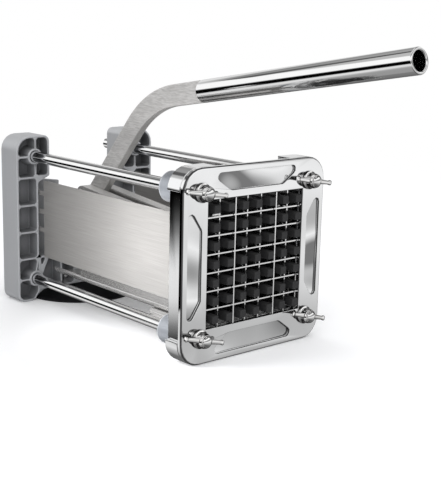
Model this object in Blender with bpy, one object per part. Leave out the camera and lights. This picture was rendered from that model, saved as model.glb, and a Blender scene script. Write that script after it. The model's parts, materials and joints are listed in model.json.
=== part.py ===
# French fry cutter with a lever handle: a blade frame and a rear frame joined by four tie rods,
# a feed trough between them, a peg pusher driven by a handle and link, and a suction foot.
# Metres, +Z up. X runs across, the cut sticks leave towards -Y, and the table is at Z = 0.
# Inside the script Y = 0 is the face of the blade frame; the empty "cutter" then puts the
# origin under the middle of the whole machine.

import bpy
import bmesh
import math
from mathutils import Matrix, Vector

# General values
clearance = 0.0003          # gap between neighbouring pieces
overrun = 0.002             # how far a cutter runs past the face it cuts
merge_distance = 0.000002   # corners closer than this are one corner
facet_length = 0.0022       # aimed length of a facet on a rounded corner
arc_steps = 5               # most facets on a rounded corner
round_sides = 18            # facets of a small turned piece
bore_sides = 16             # facets of a bolt's bore
full_round_share = 0.999    # rounding that leaves a short flat on a round end
wide_sides = 32             # facets of the suction cup
grip_sides = 26             # facets of the handle's tube
screw_sides = 12            # facets of a small screw

# Cutting grid
cell_pitch = 0.0127
cells = 7
blade_thickness = 0.0009
blade_depth = 0.007
blade_tab = 0.0028          # how far a blade's end sits in the frame
blade_setback = 0.0028      # from the frame's face to the blades
forward_step = 0.002        # the second and fifth upright blades stand further forward
forward_blades = (1, 4)
opening = cells * cell_pitch

# Blade frame
frame_side = 0.02155        # metal beside the opening
frame_above = 0.02205
frame_below = 0.02405       # down to the table
frame_depth = 0.0172
face_corner_radius = 0.016
face_edge = 0.0012          # rounded front edge
face_plate = 0.0036         # thickness of the front plate
side_recess = 0.0025        # the body's sides lie back between the corner lobes
side_lobe_step = 0.0010     # the sides' corner lobes start this far past the rods' centres
end_lobe_step = 0.0150      # those on the top and the underside, this far before them
panel_depth = 0.0017        # sunk panels on the face
panel_band_shares = (0.225, 0.805)     # a panel's two edges, of the metal beside the opening
panel_half_shares = (0.5467, 0.9719)   # half its inner and outer edge, of half the opening
panel_corner_share = 0.24   # corner radius, of the panel's height
back_pocket_floor = 0.0045  # metal left in front of the pockets at the back
back_pocket_band_shares = (0.285, 0.759)
back_pocket_half_shares = (0.5624, 0.8211)
throat_start = 0.0103       # the trough enters the frame behind this depth

# Tie rods, spacers and nuts
rod_offset = 0.00555        # rod centres outside the opening, both ways
rod_radius = 0.0043
thread_radius = 0.0040
rod_front_end = -0.0100
rod_dome = 0.0022
dome_share = 0.62           # radius of the dome a quarter of the way down
spacer_radius = 0.0107
spacer_end = 0.033
wing_barrel_radius = 0.0056
wing_barrel_length = 0.0078
wing_barrel_edge = 0.00093
wing_half_span = 0.018
wing_root_half = 0.0031
wing_tip_half = 0.0019
wing_tip_radius = 0.0017
wing_front = 0.0066
wing_back = 0.0030
wing_turns = {(-1, 1): -9.0, (1, 1): -9.5, (-1, -1): -14.5, (1, -1): -15.0}
nut_across = 0.013
nut_height = 0.0065

# Rear frame
rear_face = 0.2058          # from the blade frame's face to the rear frame's
rear_depth = 0.0238
post_outside = 0.0167       # from the rods' centres out to the posts' sides
post_inside_upper = 0.0135  # and in
post_inside_lower = 0.0030
post_step_inset = 0.01545   # step in the posts, below the opening's upper edge
post_step_slope = 0.0047
post_top_radius = 0.012
post_inner_radius = 0.005
foot_inside = 0.0032        # inwards from the rods' centres
foot_flat_start = 0.0020    # outwards from the rods' centres
foot_bulge = (0.0075, 0.0140)
foot_radius = 0.0065
waist_inside = 0.0003       # narrowest place above the foot, inwards from the rods' centres
waist_height = 0.0215
rim = 0.0018                # walls round the pockets
rib = 0.0017
shelf_shares = (0.8763, 0.7519, 0.5859, 0.4237, 0.2615, 0.1341)   # of the post's height
upright_rib_inside = 0.0007
web_setback = 0.0120        # behind the rear frame's face
web_sheet = 0.0025
web_opening_half = 0.020
web_opening_rise = 0.0030   # above the beam
web_opening_radius = 0.012
beam_low = 0.0085
beam_high = 0.0365
centre_block_half = 0.014
pocket_radius = 0.0015
brace_inside = 0.0106       # where the slanting braces meet the beam's top
middle_rib_step = 0.0120    # from the centre block to the rib beside it
gusset_reach = 0.0072       # thin web under the beam, inwards from the foot
boss_radius = 0.0064
boss_root_radius = 0.0078
boss_lip = 0.0004

# Lever mechanism, seen from the side (Y, height above the table)
pivot_behind = 0.0134       # behind the rear frame
pivot_height = 0.0285
bar_forward = 0.1234        # lower stretch of the handle bar, pivot to bend
bar_rise = 0.1404
neck_forward = 0.0605       # upper stretch, bend to grip
neck_rise = 0.0098
grip_length = 0.1932
grip_radius = 0.0082
grip_bore_radius = 0.00615
grip_edge = 0.0008
bar_width = 0.016
bar_thickness = 0.007
bend_radius = 0.084
tang_height = 0.0096
tang_length = 0.026
crank = 0.0745              # handle pivot to link pin
pin_radius = 0.004
link_pin_rise = 0.0017      # above the grid's centre
link_pin_behind = 0.0190    # behind the pusher block
link_width = 0.027
link_wall = 0.0020
link_top = 0.0016
link_half_height = 0.0089
link_slot_half = 0.00425
link_slot_length = 0.0822   # from the rear pin forwards
link_fork = 0.017
handle_swing = math.radians(90.0)
ear_inner = 0.0038
ear_outer = 0.0092
ear_radius = 0.0087
pin_head_radius = 0.0062
pin_head = 0.0020
rivet_head = 0.0016
bolt_head = 0.0040

# Feed trough
panel_offset = 0.00155      # side panels' outer faces outside the opening
panel_sheet = 0.0010
panel_low_inset = 0.01305   # side panels' lower edge, above the opening's lower edge
panel_high_inset = 0.01335
trough_start = 0.0106
panel_end_gap = 0.0058      # to the rear frame's face
tongue_half = 0.0018
tongue_rises = (0.0205, 0.0055, -0.0095)   # from the grid's centre
tray_sheet = 0.0009
tray_inset = 0.00175        # underside of the floor, above the opening's lower edge
tray_bend = 0.005
tray_wall_height = 0.0272
tray_end_gap = 0.0188       # to the rear frame's face
skirt_length = 0.0370       # end stretch without walls
skirt_top_gap = 0.0006
support_front = 0.040
support_back = 0.0615
support_sheet = 0.0010
support_drop = 0.0092
support_inset = 0.0008      # inside the side panels' outer faces

# Pusher
peg_tip = 0.0055
peg_base = 0.0060
peg_tip_y = -0.0025
block_front = 0.025
block_back = 0.032
block_side_gap = 0.00115    # narrower than the opening
block_end_gap = 0.00315
block_radius = 0.0046
carriage_sheet = 0.002
carriage_side_inset = 0.0093   # smaller than the block
carriage_end_inset = 0.0113
lug_inner = 0.0084
lug_outer = 0.0109
lug_radius = 0.0064
screw_radius = 0.002
screw_head_radius = 0.0038
screw_head = 0.0016
screw_length_share = 0.7    # of the block's thickness
screw_inset = 0.008         # from the carriage plate's edges

# Suction foot
cup_setback = 0.0122        # behind the rear frame's face
cup_radius = 0.0490
cup_top = 0.0082
cup_hollow = 0.0020
cup_hollow_shares = ((1, 0), (0.8, 0.78), (0, 0.9))        # of the hollow's depth, of the radius
cup_crown_shares = ((0.48, 0.8), (0.7, 0.56), (1, 0.34))   # of the height, of the radius
stem_radius = 0.006
stem_flange_radius = 0.012
stem_flange = 0.0020
stem_flange_low = 0.0050
lever_axis = 0.0145
lever_journal_radius = 0.0038
lever_crank_radius = 0.0021
lever_throw = 0.0015
lever_hub_radius = 0.0058
lever_start = 0.0146
lever_width = 0.006
lever_arm_half = 0.0024
lever_reach = 0.046
lever_swing = math.radians(65.0)
stem_top = 0.0212
stem_drop = lever_throw * (1 - math.cos(lever_swing))

# Across, from the middle: what follows the opening
half_opening = opening / 2
face_half_width = half_opening + frame_side
rod_reach = half_opening + rod_offset
post_half_width = rod_reach + post_outside
post_inner_upper = rod_reach - post_inside_upper
post_inner_lower = rod_reach - post_inside_lower
foot_inner = rod_reach - foot_inside
foot_flat_inner = rod_reach + foot_flat_start
waist = (rod_reach - waist_inside, waist_height)
upright_rib = rod_reach - upright_rib_inside
brace_top = rod_reach - brace_inside
panel_outside = half_opening + panel_offset
support_half = panel_outside - support_inset
block_half_width = half_opening - block_side_gap
block_half_height = half_opening - block_end_gap
carriage_half_width = block_half_width - carriage_side_inset
carriage_half_height = block_half_height - carriage_end_inset
screw_across = carriage_half_width - screw_inset
screw_up = carriage_half_height - screw_inset
screw_places = [(side * screw_across, level * screw_up) for level in (-1, 1) for side in (-1, 1)]

# Heights above the table
opening_height = half_opening + frame_below
opening_low = opening_height - half_opening
opening_high = opening_height + half_opening
face_half_height = half_opening + frame_above
frame_top = opening_height + face_half_height
side_lobe_start = rod_reach + side_lobe_step
end_lobe_start = rod_reach - end_lobe_step
panel_low = opening_low + panel_low_inset
panel_high = opening_high - panel_high_inset
tray_floor_low = opening_low + tray_inset
tray_wall_top = tray_floor_low + tray_wall_height
post_step_low = opening_high - post_step_inset
post_step_high = post_step_low + post_step_slope
web_top = post_step_low
web_opening_low = beam_high + web_opening_rise

# Along the machine, behind the blade frame's face
rear_back = rear_face + rear_depth
web_front = rear_face + web_setback
web_back = web_front + web_sheet
panel_end = rear_face - panel_end_gap
tray_end = rear_face - tray_end_gap
skirt_end = tray_end - skirt_length
cup_centre = rear_face + cup_setback
handle_pivot = (rear_back + pivot_behind, pivot_height)
bend_corner = (handle_pivot[0] - bar_forward, pivot_height + bar_rise)
grip_start = (bend_corner[0] - neck_forward, bend_corner[1] + neck_rise)
link_front_pin = (block_back + link_pin_behind, opening_height + link_pin_rise)

colours = {
    "cast": ((0.42, 0.43, 0.45), 0.9, 0.42),
    "face": ((0.80, 0.81, 0.82), 0.8, 0.35),
    "chrome": ((0.82, 0.82, 0.83), 1.0, 0.08),
    "brushed": ((0.62, 0.60, 0.58), 1.0, 0.32),
    "polished": ((0.75, 0.74, 0.73), 1.0, 0.12),
    "blade": ((0.72, 0.73, 0.74), 1.0, 0.2),
    "pegs": ((0.035, 0.035, 0.037), 0.0, 0.5),
    "rubber": ((0.02, 0.02, 0.02), 0.0, 0.6),
    "spacer": ((0.60, 0.63, 0.67), 0.6, 0.4),
}


# Outlines

def arc(centre, radius, start, end, steps):
    """Points on an arc, angles in radians."""
    points = []
    for step in range(steps + 1):
        angle = start + (end - start) * step / steps
        points.append((centre[0] + radius * math.cos(angle), centre[1] + radius * math.sin(angle)))
    return points


def rounded(corners, most_steps=arc_steps):
    """Outline through corners (a, b, radius), each rounded by its own radius."""
    outline = []
    count = len(corners)
    for index, (a, b, radius) in enumerate(corners):
        here = Vector((a, b))
        before = Vector(corners[index - 1][:2]) - here
        after = Vector(corners[(index + 1) % count][:2]) - here
        if radius == 0:
            outline.append((a, b))
            continue
        half = before.angle(after) / 2
        reach = radius / math.tan(half)
        middle = here + (before.normalized() + after.normalized()).normalized() * radius / math.sin(half)
        first = here + before.normalized() * reach - middle
        last = here + after.normalized() * reach - middle
        turn = first.angle_signed(last)
        steps = max(1, min(most_steps, round(abs(turn) * radius / facet_length)))
        for step in range(steps + 1):
            spoke = Matrix.Rotation(-turn * step / steps, 2) @ first
            outline.append(tuple(middle + spoke))
    return outline


def box_outline(low_a, high_a, low_b, high_b, radius=0, steps=arc_steps):
    """Rectangle with four equal corners."""
    places = [(low_a, low_b), (high_a, low_b), (high_a, high_b), (low_a, high_b)]
    return rounded([(a, b, radius) for a, b in places], steps)


def mirrored(outline):
    return [(-a, b) for a, b in reversed(outline)]


# Solids

def add_object(name, mesh):
    bmesh.ops.recalc_face_normals(mesh, faces=mesh.faces)
    data = bpy.data.meshes.new(name)
    mesh.to_mesh(data)
    mesh.free()
    solid = bpy.data.objects.new(name, data)
    bpy.context.scene.collection.objects.link(solid)
    return solid


def in_space(axis, point, along):
    if axis == "X":
        return Vector((along, point[0], point[1]))
    if axis == "Y":
        return Vector((point[0], along, point[1]))
    return Vector((point[0], point[1], along))


def extruded(name, outline, axis, start, end):
    """Prism: the outline lies in the plane across the axis and runs from start to end."""
    mesh = bmesh.new()
    corners = [mesh.verts.new(in_space(axis, point, start)) for point in outline]
    face = mesh.faces.new(corners)
    grown = bmesh.ops.extrude_face_region(mesh, geom=[face])
    moved = [part for part in grown["geom"] if isinstance(part, bmesh.types.BMVert)]
    bmesh.ops.translate(mesh, verts=moved, vec=in_space(axis, (0, 0), end - start))
    return add_object(name, mesh)


def turned(name, profile, axis, centre, sides=round_sides, closed=False):
    """Turned piece: profile points are (place along the axis, radius)."""
    mesh = bmesh.new()
    across = Vector((0, 0, 1)) if axis != "Z" else Vector((1, 0, 0))
    middle = in_space(axis, centre, 0)
    along = in_space(axis, (0, 0), 1)
    ring = [mesh.verts.new(middle + along * place + across * radius) for place, radius in profile]
    edges = [mesh.edges.new(pair) for pair in zip(ring, ring[1:])]
    if closed:
        edges.append(mesh.edges.new((ring[-1], ring[0])))
    bmesh.ops.spin(mesh, geom=ring + edges, cent=middle, axis=along, angle=math.tau, steps=sides,
                   use_merge=True)
    bmesh.ops.remove_doubles(mesh, verts=mesh.verts, dist=merge_distance)
    return add_object(name, mesh)


def combine(body, tools, operation):
    """Apply Booleans to the body with each tool and remove the tools."""
    for tool in tools:
        change = body.modifiers.new(operation.title(), "BOOLEAN")
        change.operation = operation
        change.solver = "EXACT"
        change.object = tool
    bpy.context.view_layer.update()
    finished = body.evaluated_get(bpy.context.evaluated_depsgraph_get())
    shape = bmesh.new()
    shape.from_mesh(finished.to_mesh())
    bmesh.ops.remove_doubles(shape, verts=shape.verts, dist=merge_distance)
    bmesh.ops.dissolve_degenerate(shape, edges=shape.edges, dist=merge_distance)
    finished.to_mesh_clear()
    body.modifiers.clear()
    shape.to_mesh(body.data)
    shape.free()
    for tool in tools:
        bpy.data.objects.remove(tool)
    return body


def cut(body, tools):
    return combine(body, tools, "DIFFERENCE")


def join(body, tools):
    return combine(body, tools, "UNION")


def rod_tool(axis, centre, start, end, radius, sides=bore_sides):
    return turned("tool", [(start, 0), (start, radius), (end, radius), (end, 0)], axis, centre, sides)


# Finish and placing

def finish(solid, kind, smooth_angle=math.radians(35.0)):
    colour, metallic, roughness = colours[kind]
    material = bpy.data.materials.new(solid.name)
    material.use_nodes = True
    shader = material.node_tree.nodes["Principled BSDF"]
    shader.inputs["Base Color"].default_value = (*colour, 1.0)
    shader.inputs["Metallic"].default_value = metallic
    shader.inputs["Roughness"].default_value = roughness
    solid.data.materials.clear()
    solid.data.materials.append(material)
    solid.data.shade_smooth()
    solid.data.set_sharp_from_angle(angle=smooth_angle)
    return solid


holder_places = {}


def add_holder(name, place, parent=None, world_place=None):
    """Empty that carries solids: place is in the machine's own frame."""
    holder = bpy.data.objects.new(name, None)
    bpy.context.scene.collection.objects.link(holder)
    holder_places[name] = Vector(place)
    if parent is None:
        holder.location = world_place
    else:
        holder.parent = parent
        holder.location = Vector(place) - holder_places[parent.name]
    return holder


def hold(solid, holder, kind):
    """Finish a solid and hang it on its holder, with its origin at the holder's place."""
    solid.data.transform(Matrix.Translation(-holder_places[holder.name]))
    solid.parent = holder
    return finish(solid, kind)


# Cutting grid

def blade_place(index):
    return (index + 1 - cells / 2) * cell_pitch


def comb(front, back, tab_front, low, high, inside_low, inside_high, notches):
    """Blade outline (depth, length) with open notches: (place, from the front, level it stops at)."""
    half_gap = blade_thickness / 2 + clearance
    front_edge = [(tab_front, low), (tab_front, inside_low), (front, inside_low)]
    back_edge = []
    for place, from_front, level in notches:
        edge = front if from_front else back
        points = [(edge, place - half_gap), (level, place - half_gap), (level, place + half_gap),
                  (edge, place + half_gap)]
        if from_front:
            front_edge += points
        else:
            back_edge += points
    front_edge += [(front, inside_high), (tab_front, inside_high), (tab_front, high)]
    outline = front_edge + [(back, high)] + list(reversed(back_edge)) + [(back, low)]
    return [point for index, point in enumerate(outline) if point != outline[index - 1]]


def upright_blade(index):
    forward = index in forward_blades
    front = blade_setback - (forward_step if forward else 0)
    crossing = front + blade_depth / 2
    level = crossing - clearance / 2 if forward else crossing + clearance / 2
    notches = [(opening_height + blade_place(row), not forward, level) for row in range(cells - 1)]
    reach = half_opening + blade_tab
    inside = half_opening - clearance
    outline = comb(front, front + blade_depth, blade_setback, opening_height - reach, opening_height + reach,
                   opening_height - inside, opening_height + inside, notches)
    place = blade_place(index)
    return extruded(f"upright_blade_{index + 1}", outline, "X", place - blade_thickness / 2,
                    place + blade_thickness / 2)


def level_blade(index):
    back = blade_setback + blade_depth
    notches = []
    for column in range(cells - 1):
        forward = column in forward_blades
        crossing = blade_setback - (forward_step if forward else 0) + blade_depth / 2
        level = crossing + clearance / 2 if forward else crossing - clearance / 2
        notches.append((blade_place(column), forward, level))
    reach = half_opening + blade_tab
    outline = comb(blade_setback, back, blade_setback, -reach, reach, -reach, reach, notches)
    plan = [(across, depth) for depth, across in outline]
    height = opening_height + blade_place(cells - 2 - index)
    return extruded(f"level_blade_{index + 1}", plan, "Z", height - blade_thickness / 2,
                    height + blade_thickness / 2)


# Blade frame

def quarter_turned(point, quarter):
    """Turn a point (along a side, outwards) to the top, right, bottom or left of the grid."""
    u, v = point
    across, up = ((u, v), (v, -u), (-u, -v), (-v, u))[quarter]
    return across, opening_height + up


def side_trapezoids(band_shares, half_shares, front, back):
    """Cutters for the four sides, placed in the metal between the opening and the frame's edge."""
    inner_half, outer_half = (share * half_opening for share in half_shares)
    tools = []
    for quarter, metal in enumerate((frame_above, frame_side, frame_below, frame_side)):
        inner, outer = (half_opening + share * metal for share in band_shares)
        radius = panel_corner_share * (outer - inner)
        corners = [(-inner_half, inner, radius), (inner_half, inner, radius),
                   (outer_half, outer, radius), (-outer_half, outer, radius)]
        outline = [quarter_turned(point, quarter) for point in rounded(corners)]
        tools.append(extruded("tool", outline, "Y", front, back))
    return tools


def soften_front(solid, place, width):
    """Round the edges that lie in the plane Y = place."""
    mesh = bmesh.new()
    mesh.from_mesh(solid.data)
    reach = clearance / 10
    edges = [edge for edge in mesh.edges if all(abs(vert.co.y - place) < reach for vert in edge.verts)]
    bmesh.ops.bevel(mesh, geom=edges, offset=width, segments=2, profile=0.5, affect="EDGES",
                    clamp_overlap=True)
    mesh.to_mesh(solid.data)
    mesh.free()


def rod_places():
    return [(side * rod_reach, opening_height + level * rod_reach) for level in (1, -1) for side in (-1, 1)]


def throat_outline():
    wide = panel_outside + clearance
    narrow = half_opening
    low = tray_floor_low - clearance
    high = panel_high + clearance
    return [(-wide, low), (wide, low), (wide, high), (narrow, high), (narrow, opening_height + narrow),
            (-narrow, opening_height + narrow), (-narrow, high), (-wide, high)]


def make_blade_frame():
    top = frame_top
    outside = box_outline(-face_half_width, face_half_width, 0, top, face_corner_radius, 6)
    body = extruded("blade_frame", outside, "Y", 0, frame_depth)
    soften_front(body, 0, face_edge)
    far = frame_depth + overrun
    tools = side_trapezoids(panel_band_shares, panel_half_shares, -overrun, panel_depth)
    tools += side_trapezoids(back_pocket_band_shares, back_pocket_half_shares, back_pocket_floor, far)
    deep = face_half_width - side_recess
    past = face_half_width + overrun
    for side in (-1, 1):
        outline = box_outline(min(side * deep, side * past), max(side * deep, side * past),
                              opening_height - side_lobe_start, opening_height + side_lobe_start)
        tools.append(extruded("tool", outline, "Y", face_plate, far))
    for low, high in ((-overrun, side_recess), (top - side_recess, top + overrun)):
        outline = box_outline(-end_lobe_start, end_lobe_start, low, high)
        tools.append(extruded("tool", outline, "Y", face_plate, far))
    half = half_opening
    square = box_outline(-half, half, opening_low, opening_high)
    tools.append(extruded("tool", square, "Y", -overrun, far))
    tools.append(extruded("tool", throat_outline(), "Y", throat_start, far))
    slot = blade_thickness / 2 + clearance
    reach = half + blade_tab + clearance
    for index in range(cells - 1):
        place = blade_place(index)
        upright = box_outline(place - slot, place + slot, opening_height - reach, opening_height + reach)
        level = box_outline(-reach, reach, opening_height + place - slot, opening_height + place + slot)
        for outline in (upright, level):
            tools.append(extruded("tool", outline, "Y", blade_setback - clearance, far))
    for place in rod_places():
        tools.append(rod_tool("Y", place, -overrun, far, thread_radius + clearance, round_sides))
    return cut(body, tools)


# Tie rods and what is on them

def rod_names():
    return ("top_left", "top_right", "bottom_left", "bottom_right")


def make_tie_rod(name, place):
    shoulder = rear_back - face_plate
    end = rear_back + boss_lip + nut_height + overrun
    front = frame_depth + clearance
    profile = [(rod_front_end, 0), (rod_front_end + rod_dome / 4, thread_radius * dome_share),
               (rod_front_end + rod_dome, thread_radius), (front, thread_radius), (front, rod_radius),
               (shoulder, rod_radius), (shoulder, thread_radius), (end, thread_radius), (end, 0)]
    return turned(f"tie_rod_{name}", profile, "Y", place)


def make_spacer(name, place):
    front = frame_depth + clearance
    bore = rod_radius + clearance
    edge = spacer_radius / 10
    profile = [(front, bore), (front, spacer_radius), (spacer_end - edge, spacer_radius),
               (spacer_end, spacer_radius - edge), (spacer_end, bore)]
    return turned(f"rod_spacer_{name}", profile, "Y", place, closed=True)


def make_rear_nut(name, place):
    start = rear_back + boss_lip + clearance
    nut = rod_tool("Y", place, start, start + nut_height, nut_across / math.sqrt(3), 6)
    nut.name = f"rear_nut_{name}"
    bore = rod_tool("Y", place, start - overrun, start + nut_height + overrun, thread_radius + clearance)
    return cut(nut, [bore])


def make_wing_nut(name, place):
    base = -clearance
    front = base - wing_barrel_length
    lip = wing_barrel_edge
    bore = thread_radius + clearance
    profile = [(base, bore), (base, wing_barrel_radius + lip), (base - 2 * lip, wing_barrel_radius),
               (front + lip / 2, wing_barrel_radius - lip), (front, wing_barrel_radius - 1.5 * lip),
               (front, bore)]
    nut = turned(f"wing_nut_{name}", profile, "Y", (0, 0), bore_sides, closed=True)
    inner = wing_barrel_radius - lip
    shoulder = wing_barrel_radius + lip
    wings = []
    for side in (-1, 1):
        corners = [(side * inner, -wing_root_half, 0),
                   (side * shoulder, -wing_root_half, wing_root_half / 2),
                   (side * wing_half_span, -wing_tip_half, wing_tip_radius),
                   (side * wing_half_span, wing_tip_half, wing_tip_radius),
                   (side * shoulder, wing_root_half, wing_root_half / 2),
                   (side * inner, wing_root_half, 0)]
        wing = extruded("tool", rounded(corners, 3), "Y", -wing_front, -wing_back)
        wings.append(wing)
    join(nut, wings)
    side, level = (1 if place[0] > 0 else -1), (1 if place[1] > opening_height else -1)
    nut.data.transform(Matrix.Rotation(-math.radians(wing_turns[(side, level)]), 4, "Y"))
    nut.data.transform(Matrix.Translation((place[0], 0, place[1])))
    return nut


# Rear frame

def post_outline(side):
    top = frame_top
    corners = [(post_inner_upper, top, post_inner_radius), (post_half_width, top, post_top_radius),
               (post_half_width, 0, foot_radius), (foot_flat_inner, 0, foot_radius / 2),
               (foot_inner, foot_bulge[0], foot_radius / 2), (foot_inner, foot_bulge[1], foot_radius / 2),
               (waist[0], waist[1], rim), (post_inner_lower, beam_high, rim),
               (post_inner_lower, post_step_low, rim), (post_inner_upper, post_step_high, rim / 2)]
    outline = rounded(corners)
    return outline if side > 0 else mirrored(outline)


def shelf_heights():
    return [share * frame_top for share in shelf_shares]


def post_pockets():
    """Pockets of one post as corner lists (distance from the middle, height, radius)."""
    outer = post_half_width - rim
    top = frame_top - rim
    near = post_inner_upper + rim
    left = upright_rib + rib / 2
    right = upright_rib - rib / 2
    half = rib / 2
    round_top = post_top_radius - rim
    shelves = shelf_heights()
    pockets = [
        [(left, top, pocket_radius), (outer, top, round_top), (outer, shelves[0] + half, pocket_radius),
         (left, shelves[0] + half, pocket_radius)],
        [(left, shelves[0] - half, pocket_radius), (outer, shelves[0] - half, pocket_radius),
         (outer, shelves[1] + half, pocket_radius), (left, shelves[1] + half, pocket_radius)],
        [(near, top, post_inner_radius - rim), (right, top, pocket_radius),
         (right, post_step_high + half, pocket_radius), (near, post_step_high + half, pocket_radius)],
    ]
    inner = post_inner_lower + rim
    for high, low in zip(shelves[1:4], shelves[2:5]):
        pockets.append([(inner, high - half, pocket_radius), (outer, high - half, pocket_radius),
                        (outer, low + half, pocket_radius), (inner, low + half, pocket_radius)])
    above = shelves[5] + half
    below = shelves[5] - half
    foot = foot_inner + rim
    pockets.append([(inner, shelves[4] - half, pocket_radius), (outer, shelves[4] - half, pocket_radius),
                    (outer, above, pocket_radius), (waist[0] + rim, above, pocket_radius)])
    pockets.append([(waist[0] + rim, below, pocket_radius), (outer, below, pocket_radius),
                    (outer, rim, foot_radius - rim), (foot_flat_inner, rim, pocket_radius),
                    (foot, foot_bulge[0], pocket_radius), (foot, foot_bulge[1], pocket_radius)])
    return pockets


def beam_pockets():
    """Pockets of the crossmember, one side: a braced triangle and two bays."""
    low = beam_low + rim
    high = beam_high - rim
    near_post = post_inner_lower - rim
    half = rib / 2
    middle_rib = centre_block_half + middle_rib_step
    brace_foot = rod_reach - boss_radius
    return [
        [(near_post, high, pocket_radius / 2), (near_post, high - boss_root_radius, pocket_radius / 2),
         (brace_top + rib, high, pocket_radius / 2)],
        [(brace_top - rib, high, pocket_radius), (middle_rib + half, high, pocket_radius),
         (middle_rib + half, low, pocket_radius), (brace_foot, low, pocket_radius),
         (brace_foot + rib, low + boss_radius + rib, pocket_radius)],
        [(middle_rib - half, high, pocket_radius), (centre_block_half, high, pocket_radius),
         (centre_block_half, low, pocket_radius), (middle_rib - half, low, pocket_radius)],
    ]


def back_pockets():
    """Pockets of the back, one side: plainer than those in front of the web."""
    outer = post_half_width - rim
    top = frame_top - rim
    inner = post_inner_lower + rim
    shelf = shelf_heights()[1] - rib
    near = post_inner_upper + rim
    upper = [(near, top, post_inner_radius - rim), (outer, top, post_top_radius - rim),
             (outer, post_step_high + rib, pocket_radius), (near, post_step_high + rib, pocket_radius)]
    middle = [(inner, shelf, pocket_radius), (outer, shelf, pocket_radius),
              (outer, beam_high, pocket_radius), (inner, beam_high, pocket_radius)]
    return [upper, middle, post_pockets()[-1]] + beam_pockets()[1:]


def pocket_tool(corners, side, start, end):
    outline = rounded(corners)
    if side < 0:
        outline = mirrored(outline)
    return extruded("tool", outline, "Y", start, end)


def web_outline():
    """Upright web between the posts, with the wide notch that the link and handle bar pass through."""
    outside = post_inner_lower + rim / 2
    flare = web_opening_half + web_opening_radius
    low = beam_high - rim
    half = [(web_opening_half, web_opening_low, web_opening_radius), (web_opening_half, web_top - rim, 0),
            (flare, web_top, web_opening_radius / 2), (outside, web_top, 0), (outside, low, 0)]
    left = [(-a, b, radius) for a, b, radius in reversed(half)]
    return rounded(half + left, 6)


def ear_outline():
    inside = rear_back - ear_radius
    y, z = handle_pivot
    nose = arc(handle_pivot, ear_radius, -math.pi / 2, math.pi / 2, 8)
    return [(inside, z - ear_radius)] + nose + [(inside, z + ear_radius)]


def bar_direction():
    return (Vector(bend_corner) - Vector(handle_pivot)).normalized()


def bar_slot_outline():
    """Room for the lower end of the handle bar between the ears."""
    pivot = Vector(handle_pivot)
    along = bar_direction()
    down = Vector((along.y, -along.x)) * -1
    if down.y > 0:
        down = -down
    room = bar_width / 2 + 2 * clearance
    start = math.atan2(down.y, down.x)
    foot = arc(handle_pivot, room, start, -math.pi / 2, 4)
    upper = pivot + down * room + along * (beam_high - pivot.y + ear_radius) / along.y
    far = handle_pivot[0] + ear_radius + overrun
    return [tuple(upper)] + foot + [(far, pivot.y - room), (far, upper.y)]


def make_rear_frame():
    frame = extruded("rear_frame", post_outline(-1), "Y", rear_face, rear_back)
    right = extruded("tool", post_outline(1), "Y", rear_face, rear_back)
    reach = post_inner_lower + rim / 2
    beam = extruded("tool", box_outline(-reach, reach, beam_low, beam_high), "Y", rear_face, rear_back)
    web = extruded("tool", web_outline(), "Y", web_front, web_back)
    join(frame, [right, beam, web])
    tools = []
    for side in (-1, 1):
        for corners in post_pockets() + beam_pockets():
            tools.append(pocket_tool(corners, side, rear_face - overrun, web_front))
        for corners in back_pockets():
            tools.append(pocket_tool(corners, side, web_back, rear_back + overrun))
    cut(frame, tools)
    added = []
    for place in rod_places():
        front = rear_face - boss_lip
        back = rear_back + boss_lip
        profile = [(front, 0), (front, boss_radius), (web_front, boss_root_radius),
                   (web_back, boss_root_radius), (back, boss_radius), (back, 0)]
        added.append(turned("tool", profile, "Y", place))
    for side in (-1, 1):
        inner, outer = sorted((side * ear_inner, side * ear_outer))
        added.append(extruded("tool", ear_outline(), "X", inner, outer))
        gusset = [(foot_inner + rim, beam_low + rim), (foot_inner + rim, beam_low / 2),
                  (foot_inner - gusset_reach, beam_low + rim)]
        outline = gusset if side > 0 else mirrored(gusset)
        start = rear_face + boss_lip
        added.append(extruded("tool", outline, "Y", start, start + rim))
    join(frame, added)
    holes = []
    for place in rod_places():
        shoulder = rear_back - face_plate + clearance
        profile = [(rear_face - overrun, 0), (rear_face - overrun, rod_radius + clearance),
                   (shoulder, rod_radius + clearance), (shoulder, thread_radius + clearance),
                   (rear_back + overrun, thread_radius + clearance), (rear_back + overrun, 0)]
        holes.append(turned("tool", profile, "Y", place, bore_sides))
    holes.append(extruded("tool", bar_slot_outline(), "X", -ear_inner, ear_inner))
    past_ears = ear_outer + overrun
    holes.append(rod_tool("X", handle_pivot, -past_ears, past_ears, pin_radius + clearance))
    holes.append(rod_tool("Z", (0, cup_centre), beam_low - overrun, stem_top + clearance,
                          stem_radius + clearance))
    holes.append(rod_tool("X", (cup_centre, lever_axis), -centre_block_half - overrun,
                          centre_block_half + overrun, lever_journal_radius + clearance, bore_sides))
    window = box_outline(cup_centre - lever_hub_radius + clearance, rear_back + overrun, beam_low + rim,
                         beam_high + overrun)
    holes.append(extruded("tool", window, "X", centre_block_half, lever_start + lever_width + rim))
    return cut(frame, holes)


# Feed trough

def make_side_panel(name, side):
    outline = [(trough_start, panel_low), (panel_end, panel_low)]
    tongue_end = web_front - clearance
    for rise in reversed(tongue_rises):
        height = opening_height + rise
        outline += [(panel_end, height - tongue_half), (tongue_end, height - tongue_half),
                    (tongue_end, height + tongue_half), (panel_end, height + tongue_half)]
    outline += [(panel_end, panel_high), (trough_start, panel_high)]
    inner, outer = sorted((side * (panel_outside - panel_sheet), side * panel_outside))
    return extruded(name, outline, "X", inner, outer)


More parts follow.
